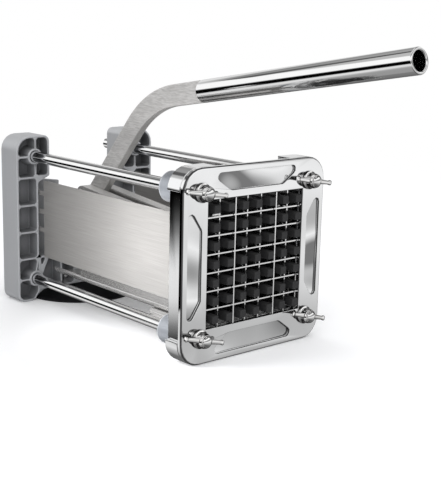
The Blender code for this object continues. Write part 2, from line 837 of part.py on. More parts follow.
def channel_outline(outer_half, sheet, low, high, bend):
    """Bent sheet with its two walls up: across and height."""
    inner_half = outer_half - sheet
    outside = rounded([(-outer_half, high, 0), (-outer_half, low, bend), (outer_half, low, bend),
                       (outer_half, high, 0)])
    inside = rounded([(inner_half, high, 0), (inner_half, low + sheet, bend - sheet),
                      (-inner_half, low + sheet, bend - sheet), (-inner_half, high, 0)])
    return outside + inside


def make_tray():
    outer_half = panel_outside - panel_sheet - clearance
    section = channel_outline(outer_half, tray_sheet, tray_floor_low, tray_wall_top, tray_bend)
    tray = extruded("feed_tray", section, "Y", trough_start, tray_end)
    lip = tray_floor_low + tray_bend + skirt_top_gap
    past = tray_end + overrun
    above = tray_wall_top + overrun
    curve = [(skirt_end + overrun, above, 0), (skirt_end, panel_low - skirt_top_gap, overrun),
             (skirt_end - tray_bend, lip, overrun), (past, lip, 0), (past, above, 0)]
    tool = extruded("tool", rounded(curve), "X", -outer_half - overrun, outer_half + overrun)
    return cut(tray, [tool])


def make_tray_support():
    high = tray_floor_low - clearance
    outline = channel_outline(support_half, support_sheet, -high, support_drop - high, support_sheet * 2)
    upside_down = [(a, -b) for a, b in outline]
    return extruded("tray_support", upside_down, "Y", support_front, support_back)


# Pusher

def make_peg(across, height):
    mesh = bmesh.new()
    rings = []
    for depth, size in ((peg_tip_y, peg_tip), (block_front + clearance, peg_base)):
        half = size / 2
        rings.append([mesh.verts.new((across + a * half, depth, height + b * half))
                      for a, b in ((-1, -1), (1, -1), (1, 1), (-1, 1))])
    mesh.faces.new(rings[0])
    mesh.faces.new(rings[1])
    for corner in range(4):
        after = (corner + 1) % 4
        mesh.faces.new((rings[0][corner], rings[0][after], rings[1][after], rings[1][corner]))
    return add_object("tool", mesh)


def make_pusher_block():
    plate = box_outline(-block_half_width, block_half_width, opening_height - block_half_height,
                        opening_height + block_half_height, block_radius)
    block = extruded("pusher_block", plate, "Y", block_front, block_back)
    pegs = []
    for row in range(cells):
        for column in range(cells):
            pegs.append(make_peg((column - (cells - 1) / 2) * cell_pitch,
                                 opening_height + (row - (cells - 1) / 2) * cell_pitch))
    join(block, pegs)
    depth = block_back - screw_length_share * (block_back - block_front)
    holes = [rod_tool("Y", (a, opening_height + b), depth, block_back + overrun, screw_radius + clearance,
                      screw_sides) for a, b in screw_places]
    return cut(block, holes)


def make_carriage():
    front = block_back + clearance
    back = front + carriage_sheet
    plate = box_outline(-carriage_half_width, carriage_half_width, opening_height - carriage_half_height,
                        opening_height + carriage_half_height, carriage_sheet * 2)
    carriage = extruded("pusher_carriage", plate, "Y", front, back)
    y, z = link_front_pin
    root = lug_radius * 2
    outline = [(back - carriage_sheet / 2, z - root)] + arc((y, z), lug_radius, -math.pi / 2, math.pi / 2, 8)
    outline += [(back - carriage_sheet / 2, z + root)]
    lugs = []
    for side in (-1, 1):
        inner, outer = sorted((side * lug_inner, side * lug_outer))
        lugs.append(extruded("tool", outline, "X", inner, outer))
    join(carriage, lugs)
    past_lugs = lug_outer + overrun
    holes = [rod_tool("X", link_front_pin, -past_lugs, past_lugs, pin_radius + clearance)]
    holes += [rod_tool("Y", (a, opening_height + b), front - overrun, back + overrun,
                       screw_radius + clearance, screw_sides) for a, b in screw_places]
    return cut(carriage, holes)


def make_pusher_screw(index):
    a, b = screw_places[index]
    head_start = block_back + 2 * clearance + carriage_sheet
    tip = block_back - screw_length_share * (block_back - block_front) + clearance
    head_end = head_start + screw_head
    profile = [(tip, 0), (tip, screw_radius), (head_start, screw_radius), (head_start, screw_head_radius),
               (head_start + screw_head / 2, screw_head_radius), (head_end, screw_head_radius / 2),
               (head_end, 0)]
    return turned(f"pusher_screw_{index + 1}", profile, "Y", (a, opening_height + b), screw_sides)


# Handle and link

def link_rear_pin():
    return Vector(handle_pivot) + bar_direction() * crank


def bar_outline():
    """Flat bar: round foot at the pivot, one bend, then the narrower tang inside the grip."""
    pivot, corner, shoulder = Vector(handle_pivot), Vector(bend_corner), Vector(grip_start)
    lower = (corner - pivot).normalized()
    upper = (shoulder - corner).normalized()
    half = bar_width / 2
    bisector = (lower + upper).normalized()
    stretch = half / bisector.dot(lower)
    across_lower = Vector((lower.y, -lower.x))
    across_upper = Vector((upper.y, -upper.x))
    across_bend = Vector((bisector.y, -bisector.x)) * stretch
    foot = pivot - lower * half
    end = shoulder + upper * (-clearance)
    tip = shoulder + upper * tang_length
    tang = tang_height / 2
    outer_radius = bend_radius + half
    inner_radius = bend_radius - half
    foot_radius_here = half * full_round_share
    corners = [(foot + across_lower * half, foot_radius_here), (corner + across_bend, outer_radius),
               (end + across_upper * half, 0), (end + across_upper * tang, 0),
               (tip + across_upper * tang, 0), (tip - across_upper * tang, 0),
               (end - across_upper * tang, 0), (end - across_upper * half, 0),
               (corner - across_bend, inner_radius), (foot - across_lower * half, foot_radius_here)]
    return rounded([(point.x, point.y, radius) for point, radius in corners], 8)


def make_handle_bar():
    bar = extruded("handle_bar", bar_outline(), "X", -bar_thickness / 2, bar_thickness / 2)
    holes = [rod_tool("X", centre, -bar_thickness, bar_thickness, pin_radius + clearance)
             for centre in (handle_pivot, tuple(link_rear_pin()))]
    return cut(bar, holes)


def make_grip():
    rise = Vector(grip_start) - Vector(bend_corner)
    edge = grip_edge
    profile = [(0, grip_bore_radius + edge / 2), (0, grip_radius - edge), (edge / 3, grip_radius - edge / 3),
               (edge, grip_radius), (grip_length - edge, grip_radius),
               (grip_length - edge / 3, grip_radius - edge / 3), (grip_length, grip_radius - edge),
               (grip_length, grip_bore_radius + edge / 2), (grip_length - edge / 2, grip_bore_radius),
               (edge / 2, grip_bore_radius)]
    grip = turned("handle_grip", profile, "Y", (0, 0), grip_sides, closed=True)
    grip.data.transform(Matrix.Rotation(math.atan2(rise.y, rise.x), 4, "X"))
    grip.data.transform(Matrix.Translation((0, *grip_start)))
    return grip


def link_direction():
    return (Vector(link_front_pin) - link_rear_pin()).normalized()


def link_point(run, height):
    """Place on the link's side view: run from the rear pin to the front, height across it."""
    along = link_direction()
    up = Vector((along.y, -along.x))
    return tuple(link_rear_pin() + along * run + up * height)


def make_link():
    rear = link_rear_pin()
    front = Vector(link_front_pin)
    length = (front - rear).length
    half = link_half_height
    ends = [(-half, -half, half * full_round_share), (length + half, -half, half * full_round_share),
            (length + half, half, half * full_round_share), (-half, half, half * full_round_share)]
    side_view = [link_point(run, height) for run, height in rounded(ends, 6)]
    width = link_width / 2
    link = extruded("link", side_view, "X", -width, width)
    inside = width - link_wall
    past = half + overrun
    hollow = [link_point(run, height) for run, height in
              box_outline(-past, length + past, -past, half - link_top)]
    fork = [link_point(run, height) for run, height in
            box_outline(length - link_fork, length + past, 0, past)]
    slot = [link_point(run, height) for run, height in box_outline(-past, link_slot_length, 0, past)]
    tools = [extruded("tool", hollow, "X", -inside, inside),
             extruded("tool", fork, "X", -inside, inside),
             extruded("tool", slot, "X", -link_slot_half, link_slot_half),
             rod_tool("X", tuple(rear), -width - overrun, width + overrun, pin_radius + clearance)]
    cut(link, tools)
    rivets = []
    for side in (-1, 1):
        root = side * (width - link_wall / 2)
        tip = side * (width + rivet_head)
        profile = [(root, 0), (root, pin_radius), (side * (width + pin_head / 2), pin_radius),
                   (tip, pin_radius / 2), (tip, 0)]
        rivets.append(turned("tool", profile, "X", tuple(front)))
    return join(link, rivets)


def make_link_pin():
    inner = link_width / 2 + clearance
    outer = inner + pin_head
    edge = pin_head / 3
    head = pin_head_radius
    profile = [(-outer, 0), (-outer, head - edge), (-outer + edge, head), (-inner, head),
               (-inner, pin_radius), (inner, pin_radius), (inner, head), (outer - edge, head),
               (outer, head - edge), (outer, 0)]
    return turned("link_pin", profile, "X", tuple(link_rear_pin()))


def make_pusher_pin():
    inside = link_width / 2 - link_wall - clearance
    pin = rod_tool("X", link_front_pin, -inside, inside, pin_radius, round_sides)
    pin.name = "pusher_pin"
    return pin


def make_pivot_bolt():
    start = -ear_outer - clearance
    bolt = rod_tool("X", handle_pivot, start - bolt_head, start, nut_across / math.sqrt(3), 6)
    bolt.name = "pivot_bolt"
    shank_end = ear_outer + bolt_head + 2 * clearance
    return join(bolt, [rod_tool("X", handle_pivot, start - bolt_head / 2, shank_end, pin_radius)])


def make_pivot_nut():
    start = ear_outer + clearance
    end = start + bolt_head
    nut = rod_tool("X", handle_pivot, start, end, nut_across / math.sqrt(3), 6)
    nut.name = "pivot_nut"
    return cut(nut, [rod_tool("X", handle_pivot, start - overrun, end + overrun, pin_radius + clearance)])


# Suction foot

def make_suction_cup():
    pocket = stem_flange_radius + clearance
    floor = stem_flange_low - stem_drop - clearance
    edge = cup_hollow / 3
    hollow = [(share * cup_hollow, radius_share * cup_radius) for share, radius_share in cup_hollow_shares]
    crown = [(share * cup_top, radius_share * cup_radius) for share, radius_share in cup_crown_shares]
    lip = [(0, cup_radius - edge), (edge, cup_radius), (cup_hollow, cup_radius),
           (cup_hollow + edge, cup_radius - edge)]
    well = [(cup_top, pocket), (floor, pocket), (floor, 0)]
    return turned("suction_cup", hollow + lip + crown + well, "Z", (0, cup_centre), wide_sides)


def make_suction_stem():
    flange_top = stem_flange_low + stem_flange
    profile = [(stem_flange_low, 0), (stem_flange_low, stem_flange_radius), (flange_top, stem_flange_radius),
               (flange_top, stem_radius), (stem_top, stem_radius), (stem_top, 0)]
    stem = turned("suction_stem", profile, "Z", (0, cup_centre))
    crank_height = lever_axis + lever_throw
    room = lever_crank_radius + clearance
    swing_room = lever_throw * math.sin(lever_swing)
    slack = stem_drop / 4
    slot = box_outline(cup_centre - swing_room - room, cup_centre + room, crank_height - room - slack,
                       crank_height + room + slack)
    return cut(stem, [extruded("tool", slot, "X", -stem_radius - overrun, stem_radius + overrun)])


def make_suction_lever():
    centre = (cup_centre, lever_axis)
    waist_half = stem_radius + 2 * clearance
    hub_end = lever_start + lever_width
    lever = rod_tool("X", (cup_centre, lever_axis + lever_throw), -waist_half - clearance,
                     waist_half + clearance, lever_crank_radius)
    lever.name = "suction_lever"
    half = lever_arm_half
    tip = cup_centre + lever_reach
    root = cup_centre + lever_crank_radius
    arm = [(root, lever_axis - half, 0), (tip - lever_width, lever_axis - half, lever_width),
           (tip, lever_axis + half / 2, half / 2), (tip - half / 2, lever_axis + 2 * half, half / 2),
           (tip - lever_width - half, lever_axis + half, lever_width), (root, lever_axis + half, 0)]
    pieces = [rod_tool("X", centre, -centre_block_half, -waist_half, lever_journal_radius),
              rod_tool("X", centre, waist_half, hub_end + clearance, lever_journal_radius),
              extruded("tool", rounded(arm), "X", lever_start, hub_end)]
    return join(lever, pieces)


# Assembly

def build():
    for item in list(bpy.data.objects):
        bpy.data.objects.remove(item)
    rise = Vector(grip_start) - Vector(bend_corner)
    lean = math.atan2(rise.y, -rise.x)
    front_reach = grip_start[0] - grip_length * math.cos(lean) - (grip_radius - grip_edge) * math.sin(lean)
    rear_reach = cup_centre + cup_radius
    cutter = add_holder("cutter", (0, 0, 0), world_place=(0, -(front_reach + rear_reach) / 2, 0))
    handle = add_holder("handle_axis", (0, *handle_pivot), cutter)
    link_holder = add_holder("link_axis", (0, *link_rear_pin()), handle)
    pusher = add_holder("pusher_axis", (0, *link_front_pin), cutter)
    lever = add_holder("suction_lever_axis", (0, cup_centre, lever_axis), cutter)
    stem = add_holder("suction_stem_axis", (0, cup_centre, stem_flange_low), cutter)

    hold(make_blade_frame(), cutter, "face")
    for index in range(cells - 1):
        hold(upright_blade(index), cutter, "blade")
        hold(level_blade(index), cutter, "blade")
    for name, place in zip(rod_names(), rod_places()):
        hold(make_tie_rod(name, place), cutter, "chrome")
        hold(make_spacer(name, place), cutter, "spacer")
        hold(make_rear_nut(name, place), cutter, "chrome")
        nut_axis = add_holder(f"wing_nut_{name}_axis", (place[0], 0, place[1]), cutter)
        hold(make_wing_nut(name, place), nut_axis, "chrome")
    hold(make_rear_frame(), cutter, "cast")
    hold(make_side_panel("side_panel_left", -1), cutter, "brushed")
    hold(make_side_panel("side_panel_right", 1), cutter, "brushed")
    hold(make_tray(), cutter, "polished")
    hold(make_tray_support(), cutter, "polished")
    hold(make_pusher_block(), pusher, "pegs")
    hold(make_carriage(), pusher, "brushed")
    hold(make_pusher_pin(), pusher, "chrome")
    for index in range(len(screw_places)):
        hold(make_pusher_screw(index), pusher, "chrome")
    hold(make_handle_bar(), handle, "brushed")
    hold(make_grip(), handle, "chrome")
    hold(make_link_pin(), handle, "chrome")
    hold(make_link(), link_holder, "brushed")
    hold(make_pivot_bolt(), cutter, "chrome")
    hold(make_pivot_nut(), cutter, "chrome")
    hold(make_suction_cup(), cutter, "rubber")
    hold(make_suction_stem(), stem, "chrome")
    hold(make_suction_lever(), lever, "chrome")
    bpy.context.view_layer.update()


build()
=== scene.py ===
import json
import math
import bmesh
import bpy
from mathutils import Matrix, Vector


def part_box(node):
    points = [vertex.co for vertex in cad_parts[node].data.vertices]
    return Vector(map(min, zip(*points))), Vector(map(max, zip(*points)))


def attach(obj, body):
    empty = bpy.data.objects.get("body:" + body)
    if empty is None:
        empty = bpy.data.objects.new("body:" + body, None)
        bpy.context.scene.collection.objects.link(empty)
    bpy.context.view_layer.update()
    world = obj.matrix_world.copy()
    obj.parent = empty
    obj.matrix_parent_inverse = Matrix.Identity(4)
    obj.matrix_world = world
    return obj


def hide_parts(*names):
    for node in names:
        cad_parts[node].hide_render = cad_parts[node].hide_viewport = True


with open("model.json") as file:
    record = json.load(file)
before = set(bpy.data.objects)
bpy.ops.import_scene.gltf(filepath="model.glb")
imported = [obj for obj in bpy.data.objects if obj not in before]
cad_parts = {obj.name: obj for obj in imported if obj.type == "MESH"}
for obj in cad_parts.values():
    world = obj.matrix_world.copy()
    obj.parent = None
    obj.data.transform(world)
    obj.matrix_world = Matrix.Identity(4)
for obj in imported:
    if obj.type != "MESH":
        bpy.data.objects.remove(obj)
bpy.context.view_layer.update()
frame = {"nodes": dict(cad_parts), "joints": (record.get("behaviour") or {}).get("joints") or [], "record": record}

cadNodes = frame["nodes"]
record = frame["record"]
jointPlaces = {joint["child"]: Vector(joint["pos_m"]) for joint in frame["joints"] if "pos_m" in joint}
bodyOf = {node: body for body, nodes in record["behaviour"]["bodies"].items() for node in nodes}
cornerNames = ("top_left", "top_right", "bottom_left", "bottom_right")


# Places that several pieces share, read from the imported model

def boxMiddle(node):
    low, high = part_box(node)
    return (low + high) / 2


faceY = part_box("blade_frame")[0].y
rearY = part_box("rear_frame")[0].y
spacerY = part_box("rod_spacer_top_left")[1].y
gridHeight = boxMiddle("pusher_block").z
rodPlaces = {corner: boxMiddle("tie_rod_" + corner) for corner in cornerNames}


# Camera: the photograph's frame is 441 x 500 pixels, and its longer side is the sensor's 36 mm

cameraValues = {
    "fromFace": Vector((-0.49251, -0.51675, 0.16548)),   # from the grid's middle on the face plane
    "yaw": 41.65,
    "pitch": 12.71,
    "roll": 1.40,
    "focalPixels": 1053.7,
    "frameHeight": 500,
    "sensor": 36.0,
    "clipStart": 0.01,
}


def addCamera(values):
    yaw, pitch, roll = (math.radians(values[name]) for name in ("yaw", "pitch", "roll"))
    forward = Vector((math.sin(yaw) * math.cos(pitch), math.cos(yaw) * math.cos(pitch), -math.sin(pitch)))
    level = Vector((math.cos(yaw), -math.sin(yaw), 0))
    upright = level.cross(forward)
    right = math.cos(roll) * level + math.sin(roll) * upright
    up = math.cos(roll) * upright - math.sin(roll) * level
    data = bpy.data.cameras.new("photoCamera")
    data.sensor_width = values["sensor"]
    data.lens = values["focalPixels"] / values["frameHeight"] * values["sensor"]
    data.clip_start = values["clipStart"]
    camera = bpy.data.objects.new("photoCamera", data)
    bpy.context.scene.collection.objects.link(camera)
    place = Vector((0, faceY, gridHeight)) + values["fromFace"]
    turn = Matrix((right, up, -forward)).transposed().to_4x4()
    camera.matrix_world = Matrix.Translation(place) @ turn
    bpy.context.scene.camera = camera


addCamera(cameraValues)
bpy.context.scene.view_settings.view_transform = "Standard"
print("camera in place")


# Helpers for meshes and nodes

def keepMesh(name, mesh):
    data = bpy.data.meshes.new(name)
    mesh.to_mesh(data)
    mesh.free()
    piece = bpy.data.objects.new(name, data)
    bpy.context.scene.collection.objects.link(piece)
    return piece


class Wiring:
    # short way to add nodes to a tree and join their sockets
    def __init__(self, tree):
        self.tree = tree

    def node(self, kind, **settings):
        made = self.tree.nodes.new(kind)
        for name, value in settings.items():
            setattr(made, name, value)
        return made

    def feed(self, socket, source):
        if hasattr(source, "is_output"):
            self.tree.links.new(source, socket)
        else:
            socket.default_value = source

    def make(self, kind, inputs, **settings):
        # a node with its named inputs fed; gives its outputs
        made = self.node(kind, **settings)
        for title, source in inputs.items():
            self.feed(made.inputs[title], source)
        return made.outputs

    def math(self, operation, first, second=0.0, third=0.0):
        made = self.node("ShaderNodeMath", operation=operation)
        for socket, value in zip(made.inputs, (first, second, third)):
            self.feed(socket, value)
        return made.outputs[0]

    def times(self, first, second):
        return self.math("MULTIPLY", first, second)

    def mix(self, factor, first, second, blend="MIX"):
        made = self.node("ShaderNodeMix", data_type="RGBA", blend_type=blend)
        self.feed(made.inputs["Factor"], factor)
        for socket, colour in zip(made.inputs[6:8], (first, second)):
            self.feed(socket, (*colour, 1.0) if isinstance(colour, tuple) else colour)
        return made.outputs[2]

    def range(self, value, low, high):
        # 0 at low and 1 at high, with a smooth rise between them
        levels = {"Value": value, "From Min": low, "From Max": high}
        return self.make("ShaderNodeMapRange", levels, interpolation_type="SMOOTHSTEP")["Result"]

    def ramp(self, value, stops):
        made = self.node("ShaderNodeValToRGB")
        elements = made.color_ramp.elements
        while len(elements) < len(stops):
            elements.new(1.0)
        for element, (place, level) in zip(elements, stops):
            element.position = place
            element.color = (level, level, level, 1.0)
        self.feed(made.inputs[0], value)
        return made.outputs[0]

    def place(self):
        return self.node("ShaderNodeTexCoord").outputs["Object"]

    def part(self, vector, axis):
        made = self.node("ShaderNodeSeparateXYZ")
        self.feed(made.inputs[0], vector)
        return made.outputs[axis]

    def noise(self, scale, detail=2.0, vector=None, roughness=0.5):
        inputs = {"Vector": vector or self.place(), "Scale": scale, "Detail": detail, "Roughness": roughness}
        return self.make("ShaderNodeTexNoise", inputs)[0]


# Studio: white for the camera, and for metal a tent of bright and dark cards round the machine.
# Azimuth runs from +Y towards +X, in degrees, and each card is a list of (elevation, level).

studioValues = {
    "diffuseLevel": 0.85,
    "leftCard": (
        (-90, 0.30), (-50, 0.32), (-42, 0.34), (-36, 0.50), (-30, 0.78), (-22, 0.74), (-20, 0.5),
        (-18, 0.0), (-0.5, 0.0), (1.5, 0.15), (5, 1.0), (29, 1.0), (33, 0.5), (44, 0.52), (60, 0.7),
        (90, 0.8)),
    "rightCard": (
        (-90, 0.25), (-16, 0.10), (-4, 0.12), (4, 0.75), (24, 0.75), (30, 0.25), (50, 0.4), (90, 0.8)),
    "frontCard": (
        (-90, 0.10), (-55, 0.10), (-44, 0.14), (-34, 0.26), (-19, 0.50), (-14, 0.66), (-8, 0.92), (-4, 0.75),
        (3, 0.20), (8, 0.20), (14, 0.60), (22, 1.0), (38, 1.0), (44, 0.08), (58, 0.08), (66, 0.7), (90, 0.8)),
    "rightCardStart": (-14, 4),
    "frontCardStart": (75, 105),
    "leftCardStart": (-128, -104),
    "flagAzimuth": (-20, -13, -4, 4),      # small dark flag high at the back
    "flagElevation": (27.5, 29.0),
    "flagLevel": 0.10,
    "stripAzimuth": (-41.0, -40.3, -38.0, -37.3),   # narrow strip light, low at the left
    "stripCard": (
        (-18.5, 0.0), (-17.5, 0.05), (-17.0, 0.16), (-16.6, 0.36), (-16.0, 0.62), (-15.4, 0.80),
        (-14.1, 0.86), (-13.3, 0.74), (-12.6, 0.46), (-12.2, 0.30), (-11.7, 0.16), (-11.0, 0.05),
        (-10.2, 0.0)),
    "floorColour": (0.93, 0.935, 0.95, 1.0),
    "floorGlow": 0.10, "floorRadius": 3.0, "floorSides": 96, "floorFade": (0.50, 0.95),
}


def cardLevels(wires, elevation, levels):
    # the ramp runs from straight down at 0 to straight up at 1
    return wires.ramp(elevation, [((angle + 90) / 180, level) for angle, level in levels])


def stepAt(wires, angle, places):
    return wires.range(angle, math.radians(places[0]), math.radians(places[1]))


def windowAt(wires, angle, places):
    rise = stepAt(wires, angle, places[:2])
    fall = stepAt(wires, angle, places[2:])
    return wires.math("SUBTRACT", rise, fall)


def makeWorld(values):
    world = bpy.data.worlds.new("studio")
    bpy.context.scene.world = world
    world.use_nodes = True
    tree = world.node_tree
    tree.nodes.clear()
    wires = Wiring(tree)
    direction = wires.node("ShaderNodeTexCoord").outputs["Generated"]
    parts = wires.node("ShaderNodeSeparateXYZ")
    wires.feed(parts.inputs[0], direction)
    height = wires.math("ARCSINE", parts.outputs["Z"])
    elevation = wires.math("ADD", wires.math("DIVIDE", height, math.pi), 0.5)
    azimuth = wires.math("ARCTAN2", parts.outputs["X"], parts.outputs["Y"])
    sides = ("front", "left", "right", "strip")
    cards = {side: cardLevels(wires, elevation, values[side + "Card"]) for side in sides}
    studio = cards["front"]
    for side in ("left", "right", "front"):
        studio = wires.mix(stepAt(wires, azimuth, values[side + "CardStart"]), studio, cards[side])
    flag = wires.times(windowAt(wires, azimuth, values["flagAzimuth"]),
                       stepAt(wires, height, values["flagElevation"]))
    studio = wires.mix(flag, studio, (values["flagLevel"],) * 3)
    shine = wires.mix(windowAt(wires, azimuth, values["stripAzimuth"]), (0.0, 0.0, 0.0), cards["strip"])
    studio = wires.mix(1.0, studio, shine, "LIGHTEN")
    paths = wires.node("ShaderNodeLightPath")
    seen = wires.mix(paths.outputs["Is Glossy Ray"], (values["diffuseLevel"],) * 3, studio)
    seen = wires.mix(paths.outputs["Is Camera Ray"], seen, (1.0, 1.0, 1.0))
    background = wires.make("ShaderNodeBackground", {"Color": seen})
    wires.make("ShaderNodeOutputWorld", {"Surface": background[0]})


def makeFloor(values):
    mesh = bmesh.new()
    bmesh.ops.create_circle(mesh, cap_ends=True, segments=values["floorSides"], radius=values["floorRadius"])
    floor = keepMesh("floor", mesh)
    material = bpy.data.materials.new("floorWhite")
    material.use_nodes = True
    tree = material.node_tree
    tree.nodes.clear()
    wires = Wiring(tree)
    paths = wires.node("ShaderNodeLightPath")
    length = wires.node("ShaderNodeVectorMath", operation="LENGTH")
    wires.feed(length.inputs[0], wires.place())
    far = wires.range(length.outputs["Value"], *values["floorFade"])
    paper = wires.make("ShaderNodeBsdfDiffuse", {"Color": values["floorColour"]})
    seen = paths.outputs["Is Camera Ray"]
    glow = wires.make("ShaderNodeEmission", {"Strength": wires.times(seen, values["floorGlow"])})
    lit = wires.node("ShaderNodeAddShader")
    wires.feed(lit.inputs[0], paper[0])
    wires.feed(lit.inputs[1], glow[0])
    blend = wires.node("ShaderNodeMixShader")
    wires.feed(blend.inputs[0], wires.times(far, seen))
    wires.feed(blend.inputs[1], lit.outputs[0])
    wires.feed(blend.inputs[2], wires.node("ShaderNodeEmission").outputs[0])
    wires.make("ShaderNodeOutputMaterial", {"Surface": blend.outputs[0]})
    floor.data.materials.append(material)
    floor.visible_glossy = False


lampValues = {
    "key": {"place": (-0.9, -0.9, 1.3), "aim": (0, 0, 0), "size": 0.9, "power": 5.0, "spread": 180},
    "fill": {"place": (0.9, -0.5, 1.0), "aim": (0, 0, 0), "size": 1.0, "power": 2.5, "spread": 180},
    "back": {"place": (0.2, 1.2, 1.2), "aim": (0, 0, 0), "size": 1.0, "power": 3.0, "spread": 180},
    "side": {"place": (-0.16, -0.01, 0.075), "aim": (-0.05, -0.01, 0.07), "size": 0.06, "power": 0.19,
             "spread": 120},
}


def addLamps(values):
    for name, lamp in values.items():
        data = bpy.data.lights.new(name, "AREA")
        data.size = lamp["size"]
        data.energy = lamp["power"]
        data.spread = math.radians(lamp["spread"])
        light = bpy.data.objects.new(name, data)
        light.location = lamp["place"]
        way = Vector(lamp["aim"]) - Vector(lamp["place"])
        light.rotation_euler = way.to_track_quat("-Z", "Y").to_euler()
        light.visible_glossy = False
        bpy.context.scene.collection.objects.link(light)


makeWorld(studioValues)
makeFloor(studioValues)
addLamps(lampValues)
print("studio built")


# Shared shader groups; a span gives the levels where a mask starts and where it is full

def newGroup(name, inputs, outputs):
    group = bpy.data.node_groups.new(name, "ShaderNodeTree")
    for title, value in inputs.items():
        socket = group.interface.new_socket(title, in_out="INPUT", socket_type="NodeSocketFloat")
        socket.default_value = value
    for title in outputs:
        group.interface.new_socket(title, in_out="OUTPUT", socket_type="NodeSocketFloat")
    wires = Wiring(group)
    return group, wires, wires.node("NodeGroupInput").outputs, wires.node("NodeGroupOutput").inputs


grainScales = ("Scale X", "Scale Y", "Scale Z")
grainValues = {"stretch": 100.0, "fine": (6.0, 3.0), "broad": (1.0, 2.0), "span": (0.3, 0.7)}


def makeBrushedGroup(values):
    # fine scratches and broader streaks, each (scale, detail), stretched by a scale for each axis
    inputs = dict.fromkeys(grainScales, values["stretch"])
    group, wires, given, results = newGroup("brushedGrain", inputs, ("Scratches", "Streaks"))
    stretch = wires.node("ShaderNodeCombineXYZ")
    for socket, title in zip(stretch.inputs, grainScales):
        wires.feed(socket, given[title])
    mapping = wires.node("ShaderNodeMapping")
    wires.feed(mapping.inputs["Vector"], wires.place())
    wires.feed(mapping.inputs["Scale"], stretch.outputs[0])
    for title, kind in (("Scratches", "fine"), ("Streaks", "broad")):
        pattern = wires.noise(*values[kind], mapping.outputs[0])
        wires.feed(results[title], wires.range(pattern, *values["span"]))
    return group


smudgeValues = {
    "size": 20.0, "cloudDetail": 5.0, "cloudRoughness": 0.6, "cloudSpan": (0.35, 0.68),
    "speckScale": 40.0, "speckDetail": 1.0, "speckSpan": (0.70, 0.78),
}


def makeSmudgeGroup(values):
    # cloudy handling marks, and specks of dust that are finer by speckScale, as masks
    group, wires, given, results = newGroup("smudges", {"Size": values["size"]}, ("Clouds", "Specks"))
    cloud = wires.noise(given["Size"], values["cloudDetail"], roughness=values["cloudRoughness"])
    speck = wires.noise(wires.times(given["Size"], values["speckScale"]), values["speckDetail"])
    wires.feed(results["Clouds"], wires.range(cloud, *values["cloudSpan"]))
    wires.feed(results["Specks"], wires.range(speck, *values["speckSpan"]))
    return group


edgeValues = {
    "amount": 1.0, "reach": 0.004, "samples": 8,
    "bendSpan": (0.515, 0.60),  # pointiness
    "openSpan": (0.85, 0.30),  # open share above a point
}


def makeEdgeGroup(values):
    # painted highlight on edges where the surface turns sharply, painted shade where walls stand within reach
    inputs = {"Amount": values["amount"], "Reach": values["reach"]}
    group, wires, given, results = newGroup("edgeHighlightAndShade", inputs, ("PaintedHighlight", "PaintedShade"))
    bend = wires.node("ShaderNodeNewGeometry").outputs["Pointiness"]
    nearby = wires.node("ShaderNodeAmbientOcclusion", samples=values["samples"])
    wires.feed(nearby.inputs["Distance"], given["Reach"])
    for title, mask in (("PaintedHighlight", wires.range(bend, *values["bendSpan"])),
                        ("PaintedShade", wires.range(nearby.outputs["AO"], *values["openSpan"]))):
        wires.feed(results[title], wires.times(mask, given["Amount"]))
    return group


brushedGroup = makeBrushedGroup(grainValues)
smudgeGroup = makeSmudgeGroup(smudgeValues)
edgeGroup = makeEdgeGroup(edgeValues)


def placeGroup(wires, group, values):
    return wires.make("ShaderNodeGroup", values, node_tree=group)


def newMaterial(name, values):
    material = bpy.data.materials.new(name)
    material.use_nodes = True
    shader = material.node_tree.nodes["Principled BSDF"]
    shader.inputs["Metallic"].default_value = values["metallic"]
    shader.inputs["Roughness"].default_value = values["roughness"]
    wires = Wiring(material.node_tree)
    return material, shader, wires, placeGroup(wires, smudgeGroup, {"Size": values["smudgeSize"]})


def addBump(wires, shader, height, strength, distance, under=None):
    inputs = {"Strength": strength, "Distance": distance, "Height": height}
    if under:
        inputs["Normal"] = under
    bump = wires.make("ShaderNodeBump", inputs)[0]
    wires.feed(shader.inputs["Normal"], bump)
    return bump


# Finishes

def coat(wires, shader, colour, smudge, amount, rough):
    # base colour, and a roughness that rises where there are handling marks
    wires.feed(shader.inputs["Base Color"], colour)
    wires.feed(shader.inputs["Roughness"], wires.math("MULTIPLY_ADD", smudge["Clouds"], amount, rough))


# the pale edge colour is a painted highlight that edgeShare lays on sharp edges
brushedLooks = {"scratchRough": 0.1, "smudgeRough": 0.05, "scratchDepth": 0.00002, "edgeHighlight": (0.9, 0.9, 0.9),
                "edgeShare": 0.0}


def makeBrushed(name, ownLooks):
    values = {**brushedLooks, **ownLooks}
    material, shader, wires, smudge = newMaterial(name, values)
    grain = placeGroup(wires, brushedGroup, dict(zip(grainScales, values["grain"])))
    paintedLight = placeGroup(wires, edgeGroup, {"Amount": values["edgeShare"]})
    low, high = values["colours"]
    colour = wires.mix(grain["Scratches"], low, high)
    colour = wires.mix(wires.times(grain["Streaks"], values["streaks"]), colour, low)
    # painted highlight on sharp edges
    colour = wires.mix(paintedLight["PaintedHighlight"], colour, values["edgeHighlight"])
    spread = values["scratchRough"]
    rough = wires.math("MULTIPLY_ADD", grain["Scratches"], spread, values["roughness"] - spread / 2)
    coat(wires, shader, colour, smudge, values["smudgeRough"], rough)
    addBump(wires, shader, grain["Scratches"], values["bump"], values["scratchDepth"])
    return material


# the darkest colour is painted shade in crevices and a painted dark reflection on flanks that turn away
chromeLooks = {
    "metallic": 1.0, "roughness": 0.03, "colour": (0.95, 0.95, 0.95), "dull": (0.85, 0.85, 0.86),
    "dullShare": 0.15, "smudgeRough": 0.02, "smudgeSize": 30.0, "paintedDark": (0.03, 0.028, 0.028),
    "paintedShadeShare": 0.0, "turnedShare": 0.0, "turnedSpan": (0.32, 0.48),
}


